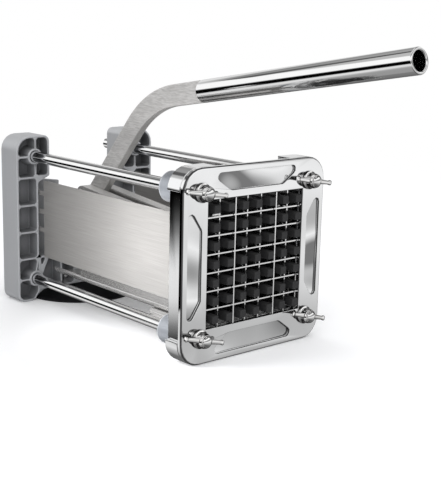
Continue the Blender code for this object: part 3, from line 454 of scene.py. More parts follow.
def makeChrome(name, ownLooks):
    # painted shade can darken crevices, and a painted dark reflection can darken flanks that turn away from the
    # viewer
    values = {**chromeLooks, **ownLooks}
    material, shader, wires, smudge = newMaterial(name, values)
    colour = wires.mix(wires.times(smudge["Clouds"], values["dullShare"]), values["colour"], values["dull"])
    # painted shade in crevices
    if values["paintedShadeShare"]:
        amounts = {"Amount": values["paintedShadeShare"], "Reach": values["shadeReach"]}
        colour = wires.mix(placeGroup(wires, edgeGroup, amounts)["PaintedShade"], colour, values["paintedDark"])
    # painted dark reflection on flanks that turn away from the viewer
    if values["turnedShare"]:
        facing = wires.node("ShaderNodeLayerWeight").outputs["Facing"]
        turned = wires.times(wires.range(facing, *values["turnedSpan"]), values["turnedShare"])
        colour = wires.mix(turned, colour, values["paintedDark"])
    coat(wires, shader, colour, smudge, values["smudgeRough"], values["roughness"])
    return material


# edge is the colour of a painted highlight on sharp edges
castLooks = {"grainDetail": 6.0, "grainDepth": 0.0001, "darkShare": 0.3, "smudgeRoughShare": 0.2,
             "edge": (0.85, 0.86, 0.88), "edgeShare": 0.0}


def makeCast(name, ownLooks):
    # a rim is a band of another colour between two depths, a painted highlight where it is lighter and painted
    # dark reflection lines where it is darker; a wave bends the mirror image
    values = {**castLooks, **ownLooks}
    material, shader, wires, smudge = newMaterial(name, values)
    grain = wires.noise(values["grainScale"], values["grainDetail"])
    paintedLight = placeGroup(wires, edgeGroup, {"Reach": values["shadeReach"]})
    colour = wires.mix(grain, values["dark"], values["colour"])
    colour = wires.mix(wires.times(smudge["Clouds"], values["darkShare"]), colour, values["dark"])
    # painted shade where walls stand within reach
    colour = wires.mix(wires.times(paintedLight["PaintedShade"], values["paintedShadeShare"]), colour, values["paintedDark"])
    # painted highlight on sharp edges
    colour = wires.mix(wires.times(paintedLight["PaintedHighlight"], values["edgeShare"]), colour, values["edge"])
    # the rim band: lighter rims are painted highlights, darker rims are painted dark reflection lines
    rim = values["rim"]
    depth = wires.part(wires.place(), "Y")
    band = wires.times(wires.range(depth, rim["start"] - rim["fade"], rim["start"]),
                       wires.range(depth, rim["end"] + rim["fade"], rim["end"]))
    colour = wires.mix(wires.times(band, rim["share"]), colour, rim["colour"])
    rough = values["roughness"]
    coat(wires, shader, colour, smudge, rough * values["smudgeRoughShare"], rough)
    normal = addBump(wires, shader, grain, values["bump"], values["grainDepth"])
    if "wave" in values:
        wave = values["wave"]
        sunk = wires.times(wires.range(depth, wave["start"], wave["full"]),
                           wires.range(depth, wave["end"], wave["fade"]))
        plate = wires.times(wires.range(depth, wave["full"], wave["start"]), wave["plateShare"])
        swell = wires.times(wires.noise(wave["scale"], 0.0), wires.math("ADD", sunk, plate))
        addBump(wires, shader, swell, 1.0, wave["height"], normal)
    return material


polymerLooks = {"metallic": 0.0, "grainDetail": 4.0, "grainDepth": 0.0001, "dustShare": 0.35,
                "smudgeRough": 0.12}


def makePolymer(name, ownLooks):
    values = {**polymerLooks, **ownLooks}
    material, shader, wires, smudge = newMaterial(name, values)
    shader.inputs["Specular IOR Level"].default_value = values["gloss"]
    grain = wires.noise(values["grainScale"], values["grainDetail"])
    colour = wires.mix(grain, values["dark"], values["colour"])
    colour = wires.mix(wires.times(smudge["Specks"], values["dustShare"]), colour, values["dust"])
    coat(wires, shader, colour, smudge, values["smudgeRough"], values["roughness"])
    addBump(wires, shader, grain, values["bump"], values["grainDepth"])
    return material


finishes = {
    # painted shade in its deep places, painted highlight on sharp edges, and a lighter rim band that is a painted
    # highlight on the front rims
    "rearCasting": makeCast("rearCasting", {
        "metallic": 0.2, "roughness": 0.42, "colour": (0.285, 0.290, 0.302), "dark": (0.240, 0.245, 0.257),
        "paintedDark": (0.06, 0.06, 0.063), "paintedShadeShare": 0.5, "shadeReach": 0.012,
        "edge": (0.75, 0.76, 0.78), "edgeShare": 0.8,
        "grainScale": 900.0, "smudgeSize": 25.0, "bump": 0.12,
        "rim": {"start": rearY - 0.001, "end": rearY + 0.0006, "fade": 0.0006, "share": 0.7,
                "colour": (0.52, 0.53, 0.55)}}),
    # painted shade in crevices; the dark rim band is painted dark reflection lines round the recesses and along
    # the outer edge
    "faceCasting": makeCast("faceCasting", {
        "metallic": 1.0, "roughness": 0.03, "colour": (0.94, 0.945, 0.95), "dark": (0.90, 0.905, 0.91),
        "paintedDark": (0.10, 0.10, 0.105), "paintedShadeShare": 0.5, "shadeReach": 0.003,
        "grainScale": 700.0, "smudgeSize": 18.0, "bump": 0.01,
        "rim": {"start": faceY + 0.0003, "end": faceY + 0.0014, "fade": 0.0002, "share": 0.92,
                "colour": (0.05, 0.05, 0.052)},
        "wave": {"start": faceY + 0.0005, "full": faceY + 0.0010, "fade": faceY + 0.0036,
                 "end": faceY + 0.0045, "height": 0.016, "scale": 20.0, "plateShare": 0.12}}),
    "chrome": makeChrome("chrome", {}),
    "rodChrome": makeChrome("rodChrome", {"roughness": 0.05}),
    "gripChrome": makeChrome("gripChrome", {"roughness": 0.06}),
    # painted shade in crevices and painted dark reflection on flanks that turn away from the viewer
    "nutChrome": makeChrome("nutChrome", {
        "colour": (1.0, 0.995, 0.99), "dull": (0.80, 0.79, 0.78), "paintedShadeShare": 0.75,
        "shadeReach": 0.008, "turnedShare": 0.95}),
    "panelSteel": makeBrushed("panelSteel", {
        "metallic": 0.35, "roughness": 0.36, "colours": ((0.275, 0.268, 0.260), (0.335, 0.326, 0.317)),
        "grain": (300.0, 6.0, 500.0), "streaks": 0.3, "smudgeSize": 14.0, "bump": 0.6}),
    "barSteel": makeBrushed("barSteel", {
        "metallic": 0.45, "roughness": 0.34, "colours": ((0.49, 0.48, 0.47), (0.70, 0.69, 0.68)),
        "grain": (600.0, 30.0, 300.0), "streaks": 0.3, "smudgeSize": 20.0, "bump": 0.6}),
    # edgeShare lays a painted highlight on its sharp edges
    "traySteel": makeBrushed("traySteel", {
        "metallic": 0.88, "roughness": 0.16, "colours": ((0.64, 0.63, 0.62), (0.76, 0.75, 0.74)),
        "grain": (600.0, 10.0, 600.0), "streaks": 0.2, "smudgeSize": 20.0, "bump": 0.2, "edgeShare": 0.5}),
    "bladeSteel": makeBrushed("bladeSteel", {
        "metallic": 1.0, "roughness": 0.12, "colours": ((0.92, 0.92, 0.92), (0.98, 0.98, 0.98)),
        "grain": (300.0, 300.0, 300.0), "streaks": 0.1, "smudgeSize": 30.0, "bump": 0.02}),
    # painted shade where walls stand close, painted highlight on sharp edges, and a lighter rim band at the rear
    # end that is a painted highlight
    "spacerAlloy": makeCast("spacerAlloy", {
        "metallic": 0.45, "roughness": 0.34, "colour": (0.25, 0.262, 0.285), "dark": (0.215, 0.228, 0.25),
        "paintedDark": (0.2, 0.2, 0.21), "paintedShadeShare": 0.4, "shadeReach": 0.004,
        "edgeShare": 0.4, "grainScale": 800.0, "smudgeSize": 40.0, "bump": 0.05,
        "rim": {"start": spacerY - 0.001, "end": spacerY + 0.0005, "fade": 0.0004, "share": 0.5,
                "colour": (0.52, 0.54, 0.57)}}),
    "pegPlastic": makePolymer("pegPlastic", {
        "roughness": 0.55, "gloss": 0.25, "colour": (0.036, 0.036, 0.037), "dark": (0.028, 0.028, 0.029),
        "dust": (0.10, 0.10, 0.10), "grainScale": 600.0, "smudgeSize": 30.0, "bump": 0.08}),
    "cupRubber": makePolymer("cupRubber", {
        "roughness": 0.5, "gloss": 0.12, "colour": (0.010, 0.010, 0.011), "dark": (0.006, 0.006, 0.007),
        "dust": (0.03, 0.03, 0.03), "grainScale": 500.0, "smudgeSize": 24.0, "bump": 0.10}),
}
print("finishes made")


# Shape helpers

weldGap = 0.000002
flatAngle = 0.5         # degrees by which triangles of one flat face may differ


def settled(piece):
    # the modifiers' result becomes the piece's own mesh
    bpy.context.view_layer.update()
    shape = piece.evaluated_get(bpy.context.evaluated_depsgraph_get())
    data = bpy.data.meshes.new_from_object(shape)
    piece.modifiers.clear()
    piece.data = data
    return piece


def weldedCopy(name, node):
    mesh = bmesh.new()
    mesh.from_mesh(cadNodes[node].data)
    bmesh.ops.remove_doubles(mesh, verts=mesh.verts, dist=weldGap)
    limit = math.radians(flatAngle)
    bmesh.ops.dissolve_limit(mesh, angle_limit=limit, verts=mesh.verts, edges=mesh.edges)
    bmesh.ops.connect_verts_concave(mesh, faces=mesh.faces)
    return keepMesh(name, mesh)


def softened(piece, width, segments=2, angle=30.0):
    # broken edges; the flat faces beside them keep their own direction, so they mirror as flats
    bevel = piece.modifiers.new("edges", "BEVEL")
    bevel.width = width
    bevel.segments = segments
    bevel.limit_method = "ANGLE"
    bevel.angle_limit = math.radians(angle)
    bevel.use_clamp_overlap = False
    flats = piece.modifiers.new("flats", "WEIGHTED_NORMAL")
    flats.weight = 100
    flats.keep_sharp = True
    return settled(shaded(piece, angle))


def shaded(piece, angle=32.0):
    piece.data.shade_smooth()
    piece.data.set_sharp_from_angle(angle=math.radians(angle))
    return piece


def placed(piece, finish, *nodes):
    piece.data.materials.clear()
    piece.data.materials.append(finishes[finish])
    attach(piece, bodyOf[nodes[0]])
    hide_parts(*nodes)
    return piece


def addRing(mesh, frameOf, along, radius, segments):
    if radius == 0:
        return [mesh.verts.new(frameOf @ Vector((0, 0, along)))]
    ring = []
    for step in range(segments):
        angle = math.tau * step / segments
        spot = Vector((radius * math.cos(angle), radius * math.sin(angle), along))
        ring.append(mesh.verts.new(frameOf @ spot))
    return ring


def bridgeRings(mesh, first, second):
    count = max(len(first), len(second))
    for step in range(count):
        after = (step + 1) % count
        corners = [first[step % len(first)], first[after % len(first)],
                   second[after % len(second)], second[step % len(second)]]
        unique = list(dict.fromkeys(corners))
        if len(unique) > 2:
            mesh.faces.new(unique)


def addLathe(mesh, profile, frameOf, segments=64, closed=False):
    # profile points are (place along the axis, radius); frameOf turns the Z axis to the piece's own
    rings = [addRing(mesh, frameOf, along, radius, segments) for along, radius in profile]
    for first, second in zip(rings, rings[1:]):
        bridgeRings(mesh, first, second)
    if closed:
        bridgeRings(mesh, rings[-1], rings[0])


def alongY(place):
    # the lathe's axis points to +Y from this place
    return Matrix.Translation(place) @ Matrix.Rotation(-math.pi / 2, 4, "X")


def alongX(place):
    return Matrix.Translation(place) @ Matrix.Rotation(math.pi / 2, 4, "Y")


def lathed(name, profile, frameOf, segments=64, closed=False):
    mesh = bmesh.new()
    addLathe(mesh, profile, frameOf, segments, closed)
    bmesh.ops.recalc_face_normals(mesh, faces=mesh.faces)
    return keepMesh(name, mesh)


def quarterRound(centreAlong, centreRadius, radius, start, end, steps=6):
    # part of a profile: an arc, angles in degrees from the axis direction
    points = []
    for step in range(steps + 1):
        angle = math.radians(start + (end - start) * step / steps)
        points.append((centreAlong + radius * math.cos(angle), centreRadius + radius * math.sin(angle)))
    return points


def roundedOutline(corners, steps=10):
    # outline through corners (a, b, radius), each rounded by its own radius
    outline = []
    for index, (a, b, radius) in enumerate(corners):
        here = Vector((a, b))
        if radius == 0:
            outline.append(here)
            continue
        before = (Vector(corners[index - 1][:2]) - here).normalized()
        after = (Vector(corners[(index + 1) % len(corners)][:2]) - here).normalized()
        half = before.angle(after) / 2
        middle = here + (before + after).normalized() * radius / math.sin(half)
        first = here + before * radius / math.tan(half) - middle
        last = here + after * radius / math.tan(half) - middle
        turn = first.angle_signed(last)
        outline += [middle + Matrix.Rotation(-turn * step / steps, 2) @ first for step in range(steps + 1)]
    return outline


def thicken(mesh, spots, way):
    # prism: a face through the spots, pushed out along a vector
    face = mesh.faces.new([mesh.verts.new(spot) for spot in spots])
    pushed = bmesh.ops.extrude_face_region(mesh, geom=[face])
    moved = [part for part in pushed["geom"] if isinstance(part, bmesh.types.BMVert)]
    bmesh.ops.translate(mesh, verts=moved, vec=way)
    bmesh.ops.recalc_face_normals(mesh, faces=mesh.faces)


# Castings and sheet metal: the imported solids, welded and with their edges broken

softenedNodes = {
    "blade_frame": ("faceCasting", 0.00035), "rear_frame": ("rearCasting", 0.0006),
    "side_panel_left": ("panelSteel", 0.0002), "side_panel_right": ("panelSteel", 0.0002),
    "feed_tray": ("traySteel", 0.0002), "tray_support": ("traySteel", 0.0002),
    "pusher_carriage": ("barSteel", 0.0002), "link": ("barSteel", 0.0003),
    "suction_stem": ("chrome", 0.0002), "suction_lever": ("chrome", 0.0005),
}

for node, (finish, width) in softenedNodes.items():
    placed(softened(weldedCopy(node + "_finished", node), width), finish, node)

for node in cadNodes:
    if node.startswith(("upright_blade", "level_blade", "pusher_screw")):
        cadNodes[node].data.materials.clear()
        cadNodes[node].data.materials.append(finishes["chrome" if "screw" in node else "bladeSteel"])
print("castings and sheets finished")


# Tie rods, their spacers and nuts

rodAxes = {corner: alongY((place.x, 0, place.z)) for corner, place in rodPlaces.items()}
rodValues = {
    "threadDepth": 0.00035,
    "threadUndercut": 0.0003,  # from the shank to the thread's crests
    "domeLength": 0.0022, "domeSteps": 8,
    "tailShare": 1 / 3,  # rear chamfer, as a share of the dome's length
    "rearShoulder": 0.0036, "segments": 72,
}


def makeRod(corner, values):
    low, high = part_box("tie_rod_" + corner)
    radius = (high.z - low.z) / 2
    core = radius - values["threadUndercut"] - values["threadDepth"] / 2
    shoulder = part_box("rod_spacer_" + corner)[0].y
    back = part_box("rear_frame")[1].y - values["rearShoulder"]
    dome = values["domeLength"]
    tail = dome * values["tailShare"]
    profile = []
    for step in range(values["domeSteps"] + 1):
        angle = math.pi / 2 * step / values["domeSteps"]
        profile.append((low.y + dome * (1 - math.cos(angle)), core * math.sin(angle)))
    profile += [(shoulder, core), (shoulder, radius), (back, radius), (back, core),
                (high.y - tail, core), (high.y, core - tail), (high.y, 0)]
    rod = lathed("tieRod_" + corner, profile, rodAxes[corner], values["segments"])
    return placed(shaded(rod), "rodChrome", "tie_rod_" + corner)


spacerValues = {
    "edge": 0.0006, "edgeSteps": 4, "bore": 0.0046, "segments": 72,
    "seatShares": (0.72, 0.66),  # rim of the dished rear end, as shares of the radius
}


def makeSpacer(corner, values):
    low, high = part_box("rod_spacer_" + corner)
    radius = (high.z - low.z) / 2
    edge, bore = values["edge"], values["bore"]
    outer, inner = (radius * share for share in values["seatShares"])
    profile = [(low.y, bore), (low.y, radius - edge)]
    profile += quarterRound(low.y + edge, radius - edge, edge, 180, 90, values["edgeSteps"])
    profile += quarterRound(high.y - edge, radius - edge, edge, 90, 0, values["edgeSteps"])
    profile += [(high.y, outer), (high.y - edge, inner), (high.y - edge, bore)]
    spacer = lathed("rodSpacer_" + corner, profile, rodAxes[corner], values["segments"], True)
    return placed(shaded(spacer), "spacerAlloy", "rod_spacer_" + corner)


nutValues = {
    "chamferShare": 0.94, "circleShare": 0.995, "chamferSlope": 0.5,
    "chamferDepth": 0.00025, "chamferWidth": 0.0003,
    "steps": 8,  # facets of each flat
    "bore": 0.0043, "sharpAngle": 20.0,
}


def hexNut(name, across, start, end, frameOf, values):
    # six flats whose corners are cut back to a cone at both ends
    mesh = bmesh.new()
    apothem = across / 2
    circle = apothem / values["chamferShare"] * values["circleShare"]
    count = 6 * values["steps"]
    rows = [[], [], [], []]
    for step in range(count):
        angle = math.tau * step / count
        offset = (angle % (math.pi / 3)) - math.pi / 6
        radius = apothem / math.cos(offset)
        drop = max(0.0, radius - apothem) * values["chamferSlope"] + values["chamferDepth"]
        rim = min(radius, circle) - values["chamferWidth"]
        spots = ((start, rim), (start + drop, radius), (end - drop, radius), (end, rim))
        for row, (along, reach) in zip(rows, spots):
            spot = Vector((reach * math.cos(angle), reach * math.sin(angle), along))
            row.append(mesh.verts.new(frameOf @ spot))
    inner = [addRing(mesh, frameOf, along, values["bore"], count) for along in (end, start)]
    loop = rows + inner
    for first, second in zip(loop, loop[1:] + loop[:1]):
        bridgeRings(mesh, first, second)
    bmesh.ops.recalc_face_normals(mesh, faces=mesh.faces)
    return shaded(keepMesh(name, mesh), values["sharpAngle"])


def makeRearNut(corner):
    low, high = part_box("rear_nut_" + corner)
    across = min(high.x - low.x, high.z - low.z)
    nut = hexNut("rearNut_" + corner, across, low.y, high.y, rodAxes[corner], nutValues)
    return placed(nut, "chrome", "rear_nut_" + corner)


wingValues = {
    "turn": {"top_left": -9.0, "top_right": -9.5, "bottom_left": -14.5, "bottom_right": -15.0},
    "flangeRadius": 0.0065, "flangeEdge": 0.0003, "flangeDepth": 0.0013,
    "neckLength": 0.0009, "neckSteps": 5,  # hollow from the flange to the barrel
    "barrelRadius": 0.0054, "barrelTaper": 0.0001,
    "barrelShare": 0.62, "noseShare": 0.30, "noseSteps": 6,  # shares of the nut's length
    "frontRadius": 0.0047, "frontEdge": 0.0005, "edgeSteps": 4,
    "bore": 0.0042, "boreChamfer": 0.0003, "boreDepths": (0.0001, 0.0008),
    "segments": 56, "sharpAngle": 40.0, "halfSpan": 0.018,
    "rootShare": 0.75,  # of the barrel's radius, where the wing starts
    "rootHalf": (0.0020, 0.0014),  # half height and half thickness
    "tipHalf": (0.0014, 0.0011), "beadHalf": (0.0019, 0.0014),
    "beadShare": 0.90, "closingShare": 0.93, "endShare": 0.07,  # of the wing's length
    "taper": 2.0, "wingMiddle": 0.0048, "sections": 22, "sectionPoints": 24, "squareness": 0.55,
}


def wingSection(share, values):
    # half height and half thickness of a wing, share running from the barrel to the tip
    bead = math.exp(-((share - values["beadShare"]) / values["endShare"]) ** 2)
    past = max(0.0, (share - values["closingShare"]) / values["endShare"])
    closing = math.sqrt(max(0.0, 1 - past ** 2))
    sizes = []
    for root, tip, knob in zip(values["rootHalf"], values["tipHalf"], values["beadHalf"]):
        size = tip + (root - tip) * (1 - share) ** values["taper"] + (knob - tip) * bead
        sizes.append(size * closing)
    return sizes


def squared(level, squareness):
    # fills a circle out towards a square
    return math.copysign(abs(level) ** squareness, level)


def addWing(mesh, frameOf, side, values):
    rows = []
    inner = values["barrelRadius"] * values["rootShare"]
    middle = values["wingMiddle"]
    for section in range(values["sections"]):
        share = section / values["sections"]
        halfHeight, halfThick = wingSection(share, values)
        reach = side * (inner + (values["halfSpan"] - inner) * share)
        row = []
        for step in range(values["sectionPoints"]):
            angle = math.tau * step / values["sectionPoints"]
            high = squared(math.sin(angle), values["squareness"]) * halfHeight
            deep = squared(math.cos(angle), values["squareness"]) * halfThick
            row.append(mesh.verts.new(frameOf @ Vector((reach, high, deep - middle))))
        rows.append(row)
    tip = Vector((side * values["halfSpan"], 0, -middle))
    rows.append([mesh.verts.new(frameOf @ tip)])
    mesh.faces.new(rows[0])
    for first, second in zip(rows, rows[1:]):
        bridgeRings(mesh, first, second)


def makeWingNut(corner, values):
    low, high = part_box("wing_nut_" + corner)
    place = rodPlaces[corner]
    turn = Matrix.Rotation(math.radians(-values["turn"][corner]), 4, "Z")
    frameOf = alongY((place.x, high.y, place.z)) @ turn
    length = high.y - low.y
    flange, barrel, front = values["flangeRadius"], values["barrelRadius"], values["frontRadius"]
    bore, edge, rim = values["bore"], values["flangeEdge"], values["frontEdge"]
    profile = [(0, bore), (0, flange - edge), (-edge, flange), (-values["flangeDepth"], flange)]
    for step in range(1, values["neckSteps"] + 1):
        share = step / values["neckSteps"]
        profile.append((-values["flangeDepth"] - values["neckLength"] * share,
                        flange - (flange - barrel) * math.sin(math.pi / 2 * share)))
    profile.append((-length * values["barrelShare"], barrel - values["barrelTaper"]))
    for step in range(1, values["noseSteps"] + 1):
        share = step / values["noseSteps"]
        profile.append((-length * (values["barrelShare"] + values["noseShare"] * share),
                        barrel - (barrel - front) * share ** 2))
    profile += quarterRound(rim - length, front - rim, rim, 90, 180, values["edgeSteps"])
    mouth, throat = values["boreDepths"]
    profile += [(mouth - length, bore + values["boreChamfer"]), (throat - length, bore)]
    mesh = bmesh.new()
    addLathe(mesh, profile, frameOf, values["segments"], True)
    for side in (-1, 1):
        addWing(mesh, frameOf, side, values)
    bmesh.ops.recalc_face_normals(mesh, faces=mesh.faces)
    nut = keepMesh("wingNut_" + corner, mesh)
    return placed(shaded(nut, values["sharpAngle"]), "nutChrome", "wing_nut_" + corner)


for corner in cornerNames:
    makeRod(corner, rodValues)
    makeSpacer(corner, spacerValues)
    makeRearNut(corner)
    makeWingNut(corner, wingValues)
print("rods, spacers and nuts made")


# Geometry Nodes: threads on the rods' ends, and the pegs of the pusher

def newTree(name, inputs):
    tree = bpy.data.node_groups.new(name, "GeometryNodeTree")
    tree.interface.new_socket("Geometry", in_out="INPUT", socket_type="NodeSocketGeometry")
    kinds = {float: "NodeSocketFloat", int: "NodeSocketInt"}
    for title, value in inputs.items():
        kind = kinds.get(type(value), "NodeSocketMaterial")
        socket = tree.interface.new_socket(title, in_out="INPUT", socket_type=kind)
        if kind != "NodeSocketMaterial":
            socket.default_value = value
    tree.interface.new_socket("Geometry", in_out="OUTPUT", socket_type="NodeSocketGeometry")
    wires = Wiring(tree)
    return tree, wires, wires.node("NodeGroupInput").outputs, wires.node("NodeGroupOutput").inputs


def endTree(wires, given, result, points, shape, turn):
    # turned copies of a shape on the points, made real and painted
    inputs = {"Points": points, "Instance": shape, "Rotation": turn}
    copies = wires.make("GeometryNodeInstanceOnPoints", inputs)
    real = wires.make("GeometryNodeRealizeInstances", {"Geometry": copies[0]})
    inputs = {"Geometry": real[0], "Material": given["Material"]}
    painted = wires.make("GeometryNodeSetMaterial", inputs)
    wires.feed(result["Geometry"], painted[0])


def grown(piece, tree, values):
    change = piece.modifiers.new(tree.name, "NODES")
    change.node_group = tree
    sockets = {item.name: item.identifier for item in tree.interface.items_tree if item.in_out == "INPUT"}
    for title, value in values.items():
        change[sockets[title]] = value
    return settled(piece)


threadValues = {"Height": 0.0013, "Turns": 1.0, "Wire": 0.0004, "Sides": 4, "Steps": 28}
threadOffsets = {"front": 0.0001, "rear": 0.0003}    # front from the bare end's middle, rear from the nut


def threadTree(inputs):
    tree, wires, given, result = newTree("screwThread", inputs)
    spiral = wires.make("GeometryNodeCurveSpiral", {
        "Start Radius": given["Radius"], "End Radius": given["Radius"], "Height": given["Height"],
        "Rotations": given["Turns"], "Resolution": given["Steps"]})
    wire = wires.make("GeometryNodeCurvePrimitiveCircle", {
        "Resolution": given["Sides"], "Radius": given["Wire"]})
    coil = wires.make("GeometryNodeCurveToMesh", {
        "Curve": spiral[0], "Profile Curve": wire[0], "Fill Caps": True})
    endTree(wires, given, result, given["Geometry"], coil[0], (-math.pi / 2, 0, 0))
    return tree


def makeThreads(values, offsets):
    mesh = bmesh.new()
    for corner in cornerNames:
        place = rodPlaces[corner]
        low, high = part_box("tie_rod_" + corner)
        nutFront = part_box("wing_nut_" + corner)[0].y
        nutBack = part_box("rear_nut_" + corner)[1].y
        mesh.verts.new((place.x, (nutFront + low.y) / 2 + offsets["front"], place.z))
        mesh.verts.new((place.x, nutBack + offsets["rear"], place.z))
    piece = keepMesh("rodThreads", mesh)
    core = (high.z - low.z) / 2 - rodValues["threadUndercut"] - rodValues["threadDepth"]
    inputs = {**values, "Radius": core, "Material": finishes["nutChrome"]}
    grown(piece, threadTree(inputs), inputs)
    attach(piece, bodyOf["tie_rod_top_left"])
    return shaded(piece)


makeThreads(threadValues, threadOffsets)

pegValues = {"Columns": 7, "Pitch": 0.0127, "Tip": 0.0055, "Base": 0.0060}

pusherValues = {
    "edge": 0.00045, "edgeSegments": 3,
    "plateThickness": 0.007, "plateRadius": 0.0046, "plateSteps": 6,
    "pegRoot": 0.0006,  # how far the pegs reach into the plate
}


def pegTree(inputs):
    tree, wires, given, result = newTree("pegField", inputs)
    span = wires.times(wires.math("SUBTRACT", given["Columns"], 1.0), given["Pitch"])
    field = wires.make("GeometryNodeMeshGrid", {
        "Size X": span, "Size Y": span, "Vertices X": given["Columns"], "Vertices Y": given["Columns"]})
    corner = math.sqrt(0.5)
    peg = wires.make("GeometryNodeMeshCone", {
        "Vertices": 4, "Radius Top": wires.times(given["Tip"], corner),
        "Radius Bottom": wires.times(given["Base"], corner), "Depth": given["Length"]})
    endTree(wires, given, result, field["Mesh"], peg["Mesh"], (0, 0, math.pi / 4))
    return tree


def makePusher(values, pegs):
    low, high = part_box("pusher_block")
    thickness = values["plateThickness"]
    length = high.y - low.y - thickness + values["pegRoot"]
    field = keepMesh("pegs", bmesh.new())
    inputs = {**pegs, "Length": length, "Material": finishes["pegPlastic"]}
    grown(field, pegTree(inputs), inputs)
    mesh = bmesh.new()
    mesh.from_mesh(field.data)
    bpy.data.objects.remove(field)
    upright = Matrix.Translation((0, low.y + length, gridHeight)) @ Matrix.Rotation(math.pi / 2, 4, "X")
    bmesh.ops.transform(mesh, matrix=upright, verts=mesh.verts)
    half = (high - low) / 2
    corners = [(a * half.x, gridHeight + b * half.z, values["plateRadius"])
               for a, b in ((-1, -1), (1, -1), (1, 1), (-1, 1))]
    outline = roundedOutline(corners, values["plateSteps"])
    thicken(mesh, [(spot.x, high.y - thickness, spot.y) for spot in outline], (0, thickness, 0))
    block = softened(keepMesh("pusherBlock", mesh), values["edge"], values["edgeSegments"])
    return placed(block, "pegPlastic", "pusher_block")


makePusher(pusherValues, pegValues)
print("pusher made")


# Handle: flat bar with one bend, tube grip, pins and bolt

handleValues = {
    "barForward": 0.1234, "barRise": 0.1404,  # from the pivot to the bend
    "neckForward": 0.0605, "neckRise": 0.0098,  # from the bend to the grip
    "barWidth": 0.016, "barHalfThickness": 0.0035, "bendRadius": 0.084,
    "footShare": 0.999,  # rounding of the lower end, as a share of the half width
    "tangHalf": 0.0048, "tangLength": 0.026, "tangGap": 0.0003,
    "outlineSteps": 24, "edge": 0.0007, "edgeSegments": 3,
    "gripLength": 0.1932, "gripRadius": 0.0082, "gripBore": 0.00615, "gripSegments": 96, "lipSteps": 12,
}


def handlePlaces(values):
    pivot = Vector(jointPlaces["handle"][1:])
    bend = pivot + Vector((-values["barForward"], values["barRise"]))
    start = bend + Vector((-values["neckForward"], values["neckRise"]))
    return pivot, bend, start


def makeHandleBar(values):
    pivot, bend, start = handlePlaces(values)
    lower = (bend - pivot).normalized()
    upper = (start - bend).normalized()
    half = values["barWidth"] / 2
    bisector = (lower + upper).normalized()
    acrossLower, acrossUpper, acrossBend = (Vector((way.y, -way.x)) for way in (lower, upper, bisector))
    acrossBend *= half / bisector.dot(lower)
    foot = pivot - lower * half
    footRadius = half * values["footShare"]
    tang = values["tangHalf"]
    end = start - upper * values["tangGap"]
    tip = start + upper * values["tangLength"]
    spots = [(foot + acrossLower * half, footRadius), (bend + acrossBend, values["bendRadius"] + half),
             (end + acrossUpper * half, 0), (end + acrossUpper * tang, 0), (tip + acrossUpper * tang, 0),
             (tip - acrossUpper * tang, 0), (end - acrossUpper * tang, 0), (end - acrossUpper * half, 0),
             (bend - acrossBend, values["bendRadius"] - half), (foot - acrossLower * half, footRadius)]
    outline = roundedOutline([(spot.x, spot.y, radius) for spot, radius in spots], values["outlineSteps"])
    side = values["barHalfThickness"]
    mesh = bmesh.new()
    thicken(mesh, [(-side, spot.x, spot.y) for spot in outline], (2 * side, 0, 0))
    bar = softened(keepMesh("handleBar", mesh), values["edge"], values["edgeSegments"])
    return placed(bar, "barSteel", "handle_bar")


def makeGrip(values):
    bend, start = handlePlaces(values)[1:]
    way = (start - bend).normalized()
    axis = Vector((0, way.x, way.y))
    frameOf = Matrix.Translation((0, start.x, start.y)) @ axis.to_track_quat("Z", "X").to_matrix().to_4x4()
    length, radius, bore = values["gripLength"], values["gripRadius"], values["gripBore"]
    lip = (radius - bore) / 2
    profile = quarterRound(lip, bore + lip, lip, 270, 90, values["lipSteps"])
    profile += quarterRound(length - lip, bore + lip, lip, 90, -90, values["lipSteps"])
    grip = lathed("gripTube", profile, frameOf, values["gripSegments"], True)
    return placed(shaded(grip), "gripChrome", "handle_grip")


pinValues = {
    "linkShank": 0.004, "headDepth": 0.002, "segments": 56,
    "domeDepths": (0, 0.0001, 0.0006, 0.0012, 0.002),
    "domeShares": (0, 0.45, 0.82, 1, 1),  # of the head's radius, at those depths
}


def makePins(values):
    for node, name in (("link_pin", "linkPin"), ("pusher_pin", "pusherPin")):
        low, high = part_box(node)
        middle = boxMiddle(node)
        head = (high.z - low.z) / 2
        shank = head if node == "pusher_pin" else values["linkShank"]
        reach = (high.x - low.x) / 2
        inner = reach - values["headDepth"]
        dome = [(depth, head * share) for depth, share in zip(values["domeDepths"], values["domeShares"])]
        profile = [(-reach + along, radius) for along, radius in dome] + [(-inner, shank), (inner, shank)]
        profile += [(reach - along, radius) for along, radius in reversed(dome)]
        pin = lathed(name, profile, alongX((0, middle.y, middle.z)), values["segments"])
        placed(shaded(pin), "chrome", node)


boltValues = {
    "across": 0.013, "headBore": 0.002, "headHollow": 0.0004,
    "shankRadius": 0.004, "tipChamfer": 0.0005, "segments": 48,
}


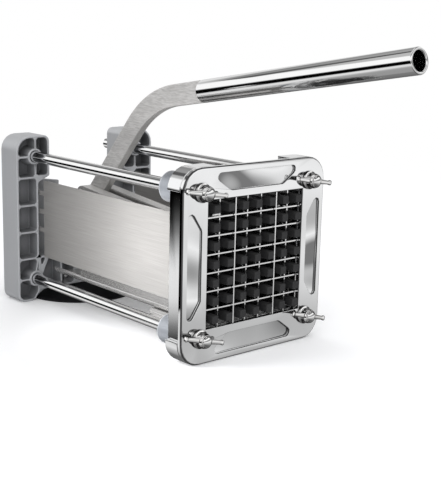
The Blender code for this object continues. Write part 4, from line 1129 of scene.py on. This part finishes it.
def makePivotBolt(values):
    low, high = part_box("pivot_bolt")
    nutLow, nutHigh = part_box("pivot_nut")
    middle = boxMiddle("pivot_nut")
    frameOf = alongX((0, middle.y, middle.z))
    across = values["across"]
    headEnd = low.x + (nutHigh.x - nutLow.x)
    head = hexNut("boltHead", across, low.x, headEnd, frameOf, {**nutValues, "bore": values["headBore"]})
    mesh = bmesh.new()
    mesh.from_mesh(head.data)
    bpy.data.objects.remove(head)
    start = low.x + values["headHollow"]
    radius, tip = values["shankRadius"], values["tipChamfer"]
    shank = [(start, 0), (start, radius), (high.x - tip, radius), (high.x, radius - tip), (high.x, 0)]
    addLathe(mesh, shank, frameOf, values["segments"])
    bmesh.ops.recalc_face_normals(mesh, faces=mesh.faces)
    placed(shaded(keepMesh("pivotBolt", mesh), nutValues["sharpAngle"]), "chrome", "pivot_bolt")
    placed(hexNut("pivotNut", across, nutLow.x, nutHigh.x, frameOf, nutValues), "chrome", "pivot_nut")


makeHandleBar(handleValues)
makeGrip(handleValues)
makePins(pinValues)
makePivotBolt(boltValues)
print("handle made")


# Suction cup

cupValues = {
    "hollow": 0.0016, "lip": 0.0012, "stemWell": 0.0123, "wellFloor": 0.0038,
    "segments": 128, "sharpAngle": 40.0,
    "underShares": ((1, 0), (0.8, 0.78), (0, 0.92)),  # of the hollow's height and the radius
    "lipShares": ((0, 0.6), (0.4, 1 / 12), (1, 0), (1.5, 1 / 12), (1.9, 0.7)),  # of the lip, up and in
    "crownShares": (  # of the height and the radius
        (0.30, 0.965), (0.42, 0.88), (0.50, 0.78), (0.60, 0.66), (0.72, 0.54), (0.84, 0.44),
        (0.97, 0.36), (1, 0.34)),
}


def makeCup(values):
    low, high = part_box("suction_cup")
    middle = boxMiddle("suction_cup")
    radius = (high.x - low.x) / 2
    lip, well, floor = values["lip"], values["stemWell"], values["wellFloor"]
    profile = [(share * values["hollow"], part * radius) for share, part in values["underShares"]]
    profile += [(up * lip, radius - inward * lip) for up, inward in values["lipShares"]]
    profile += [(share * high.z, part * radius) for share, part in values["crownShares"]]
    profile += [(high.z, well), (floor, well), (floor, 0)]
    cup = lathed("suctionCup", profile, Matrix.Translation((0, middle.y, 0)), values["segments"])
    return placed(shaded(cup, values["sharpAngle"]), "cupRubber", "suction_cup")


makeCup(cupValues)
print("suction cup made")
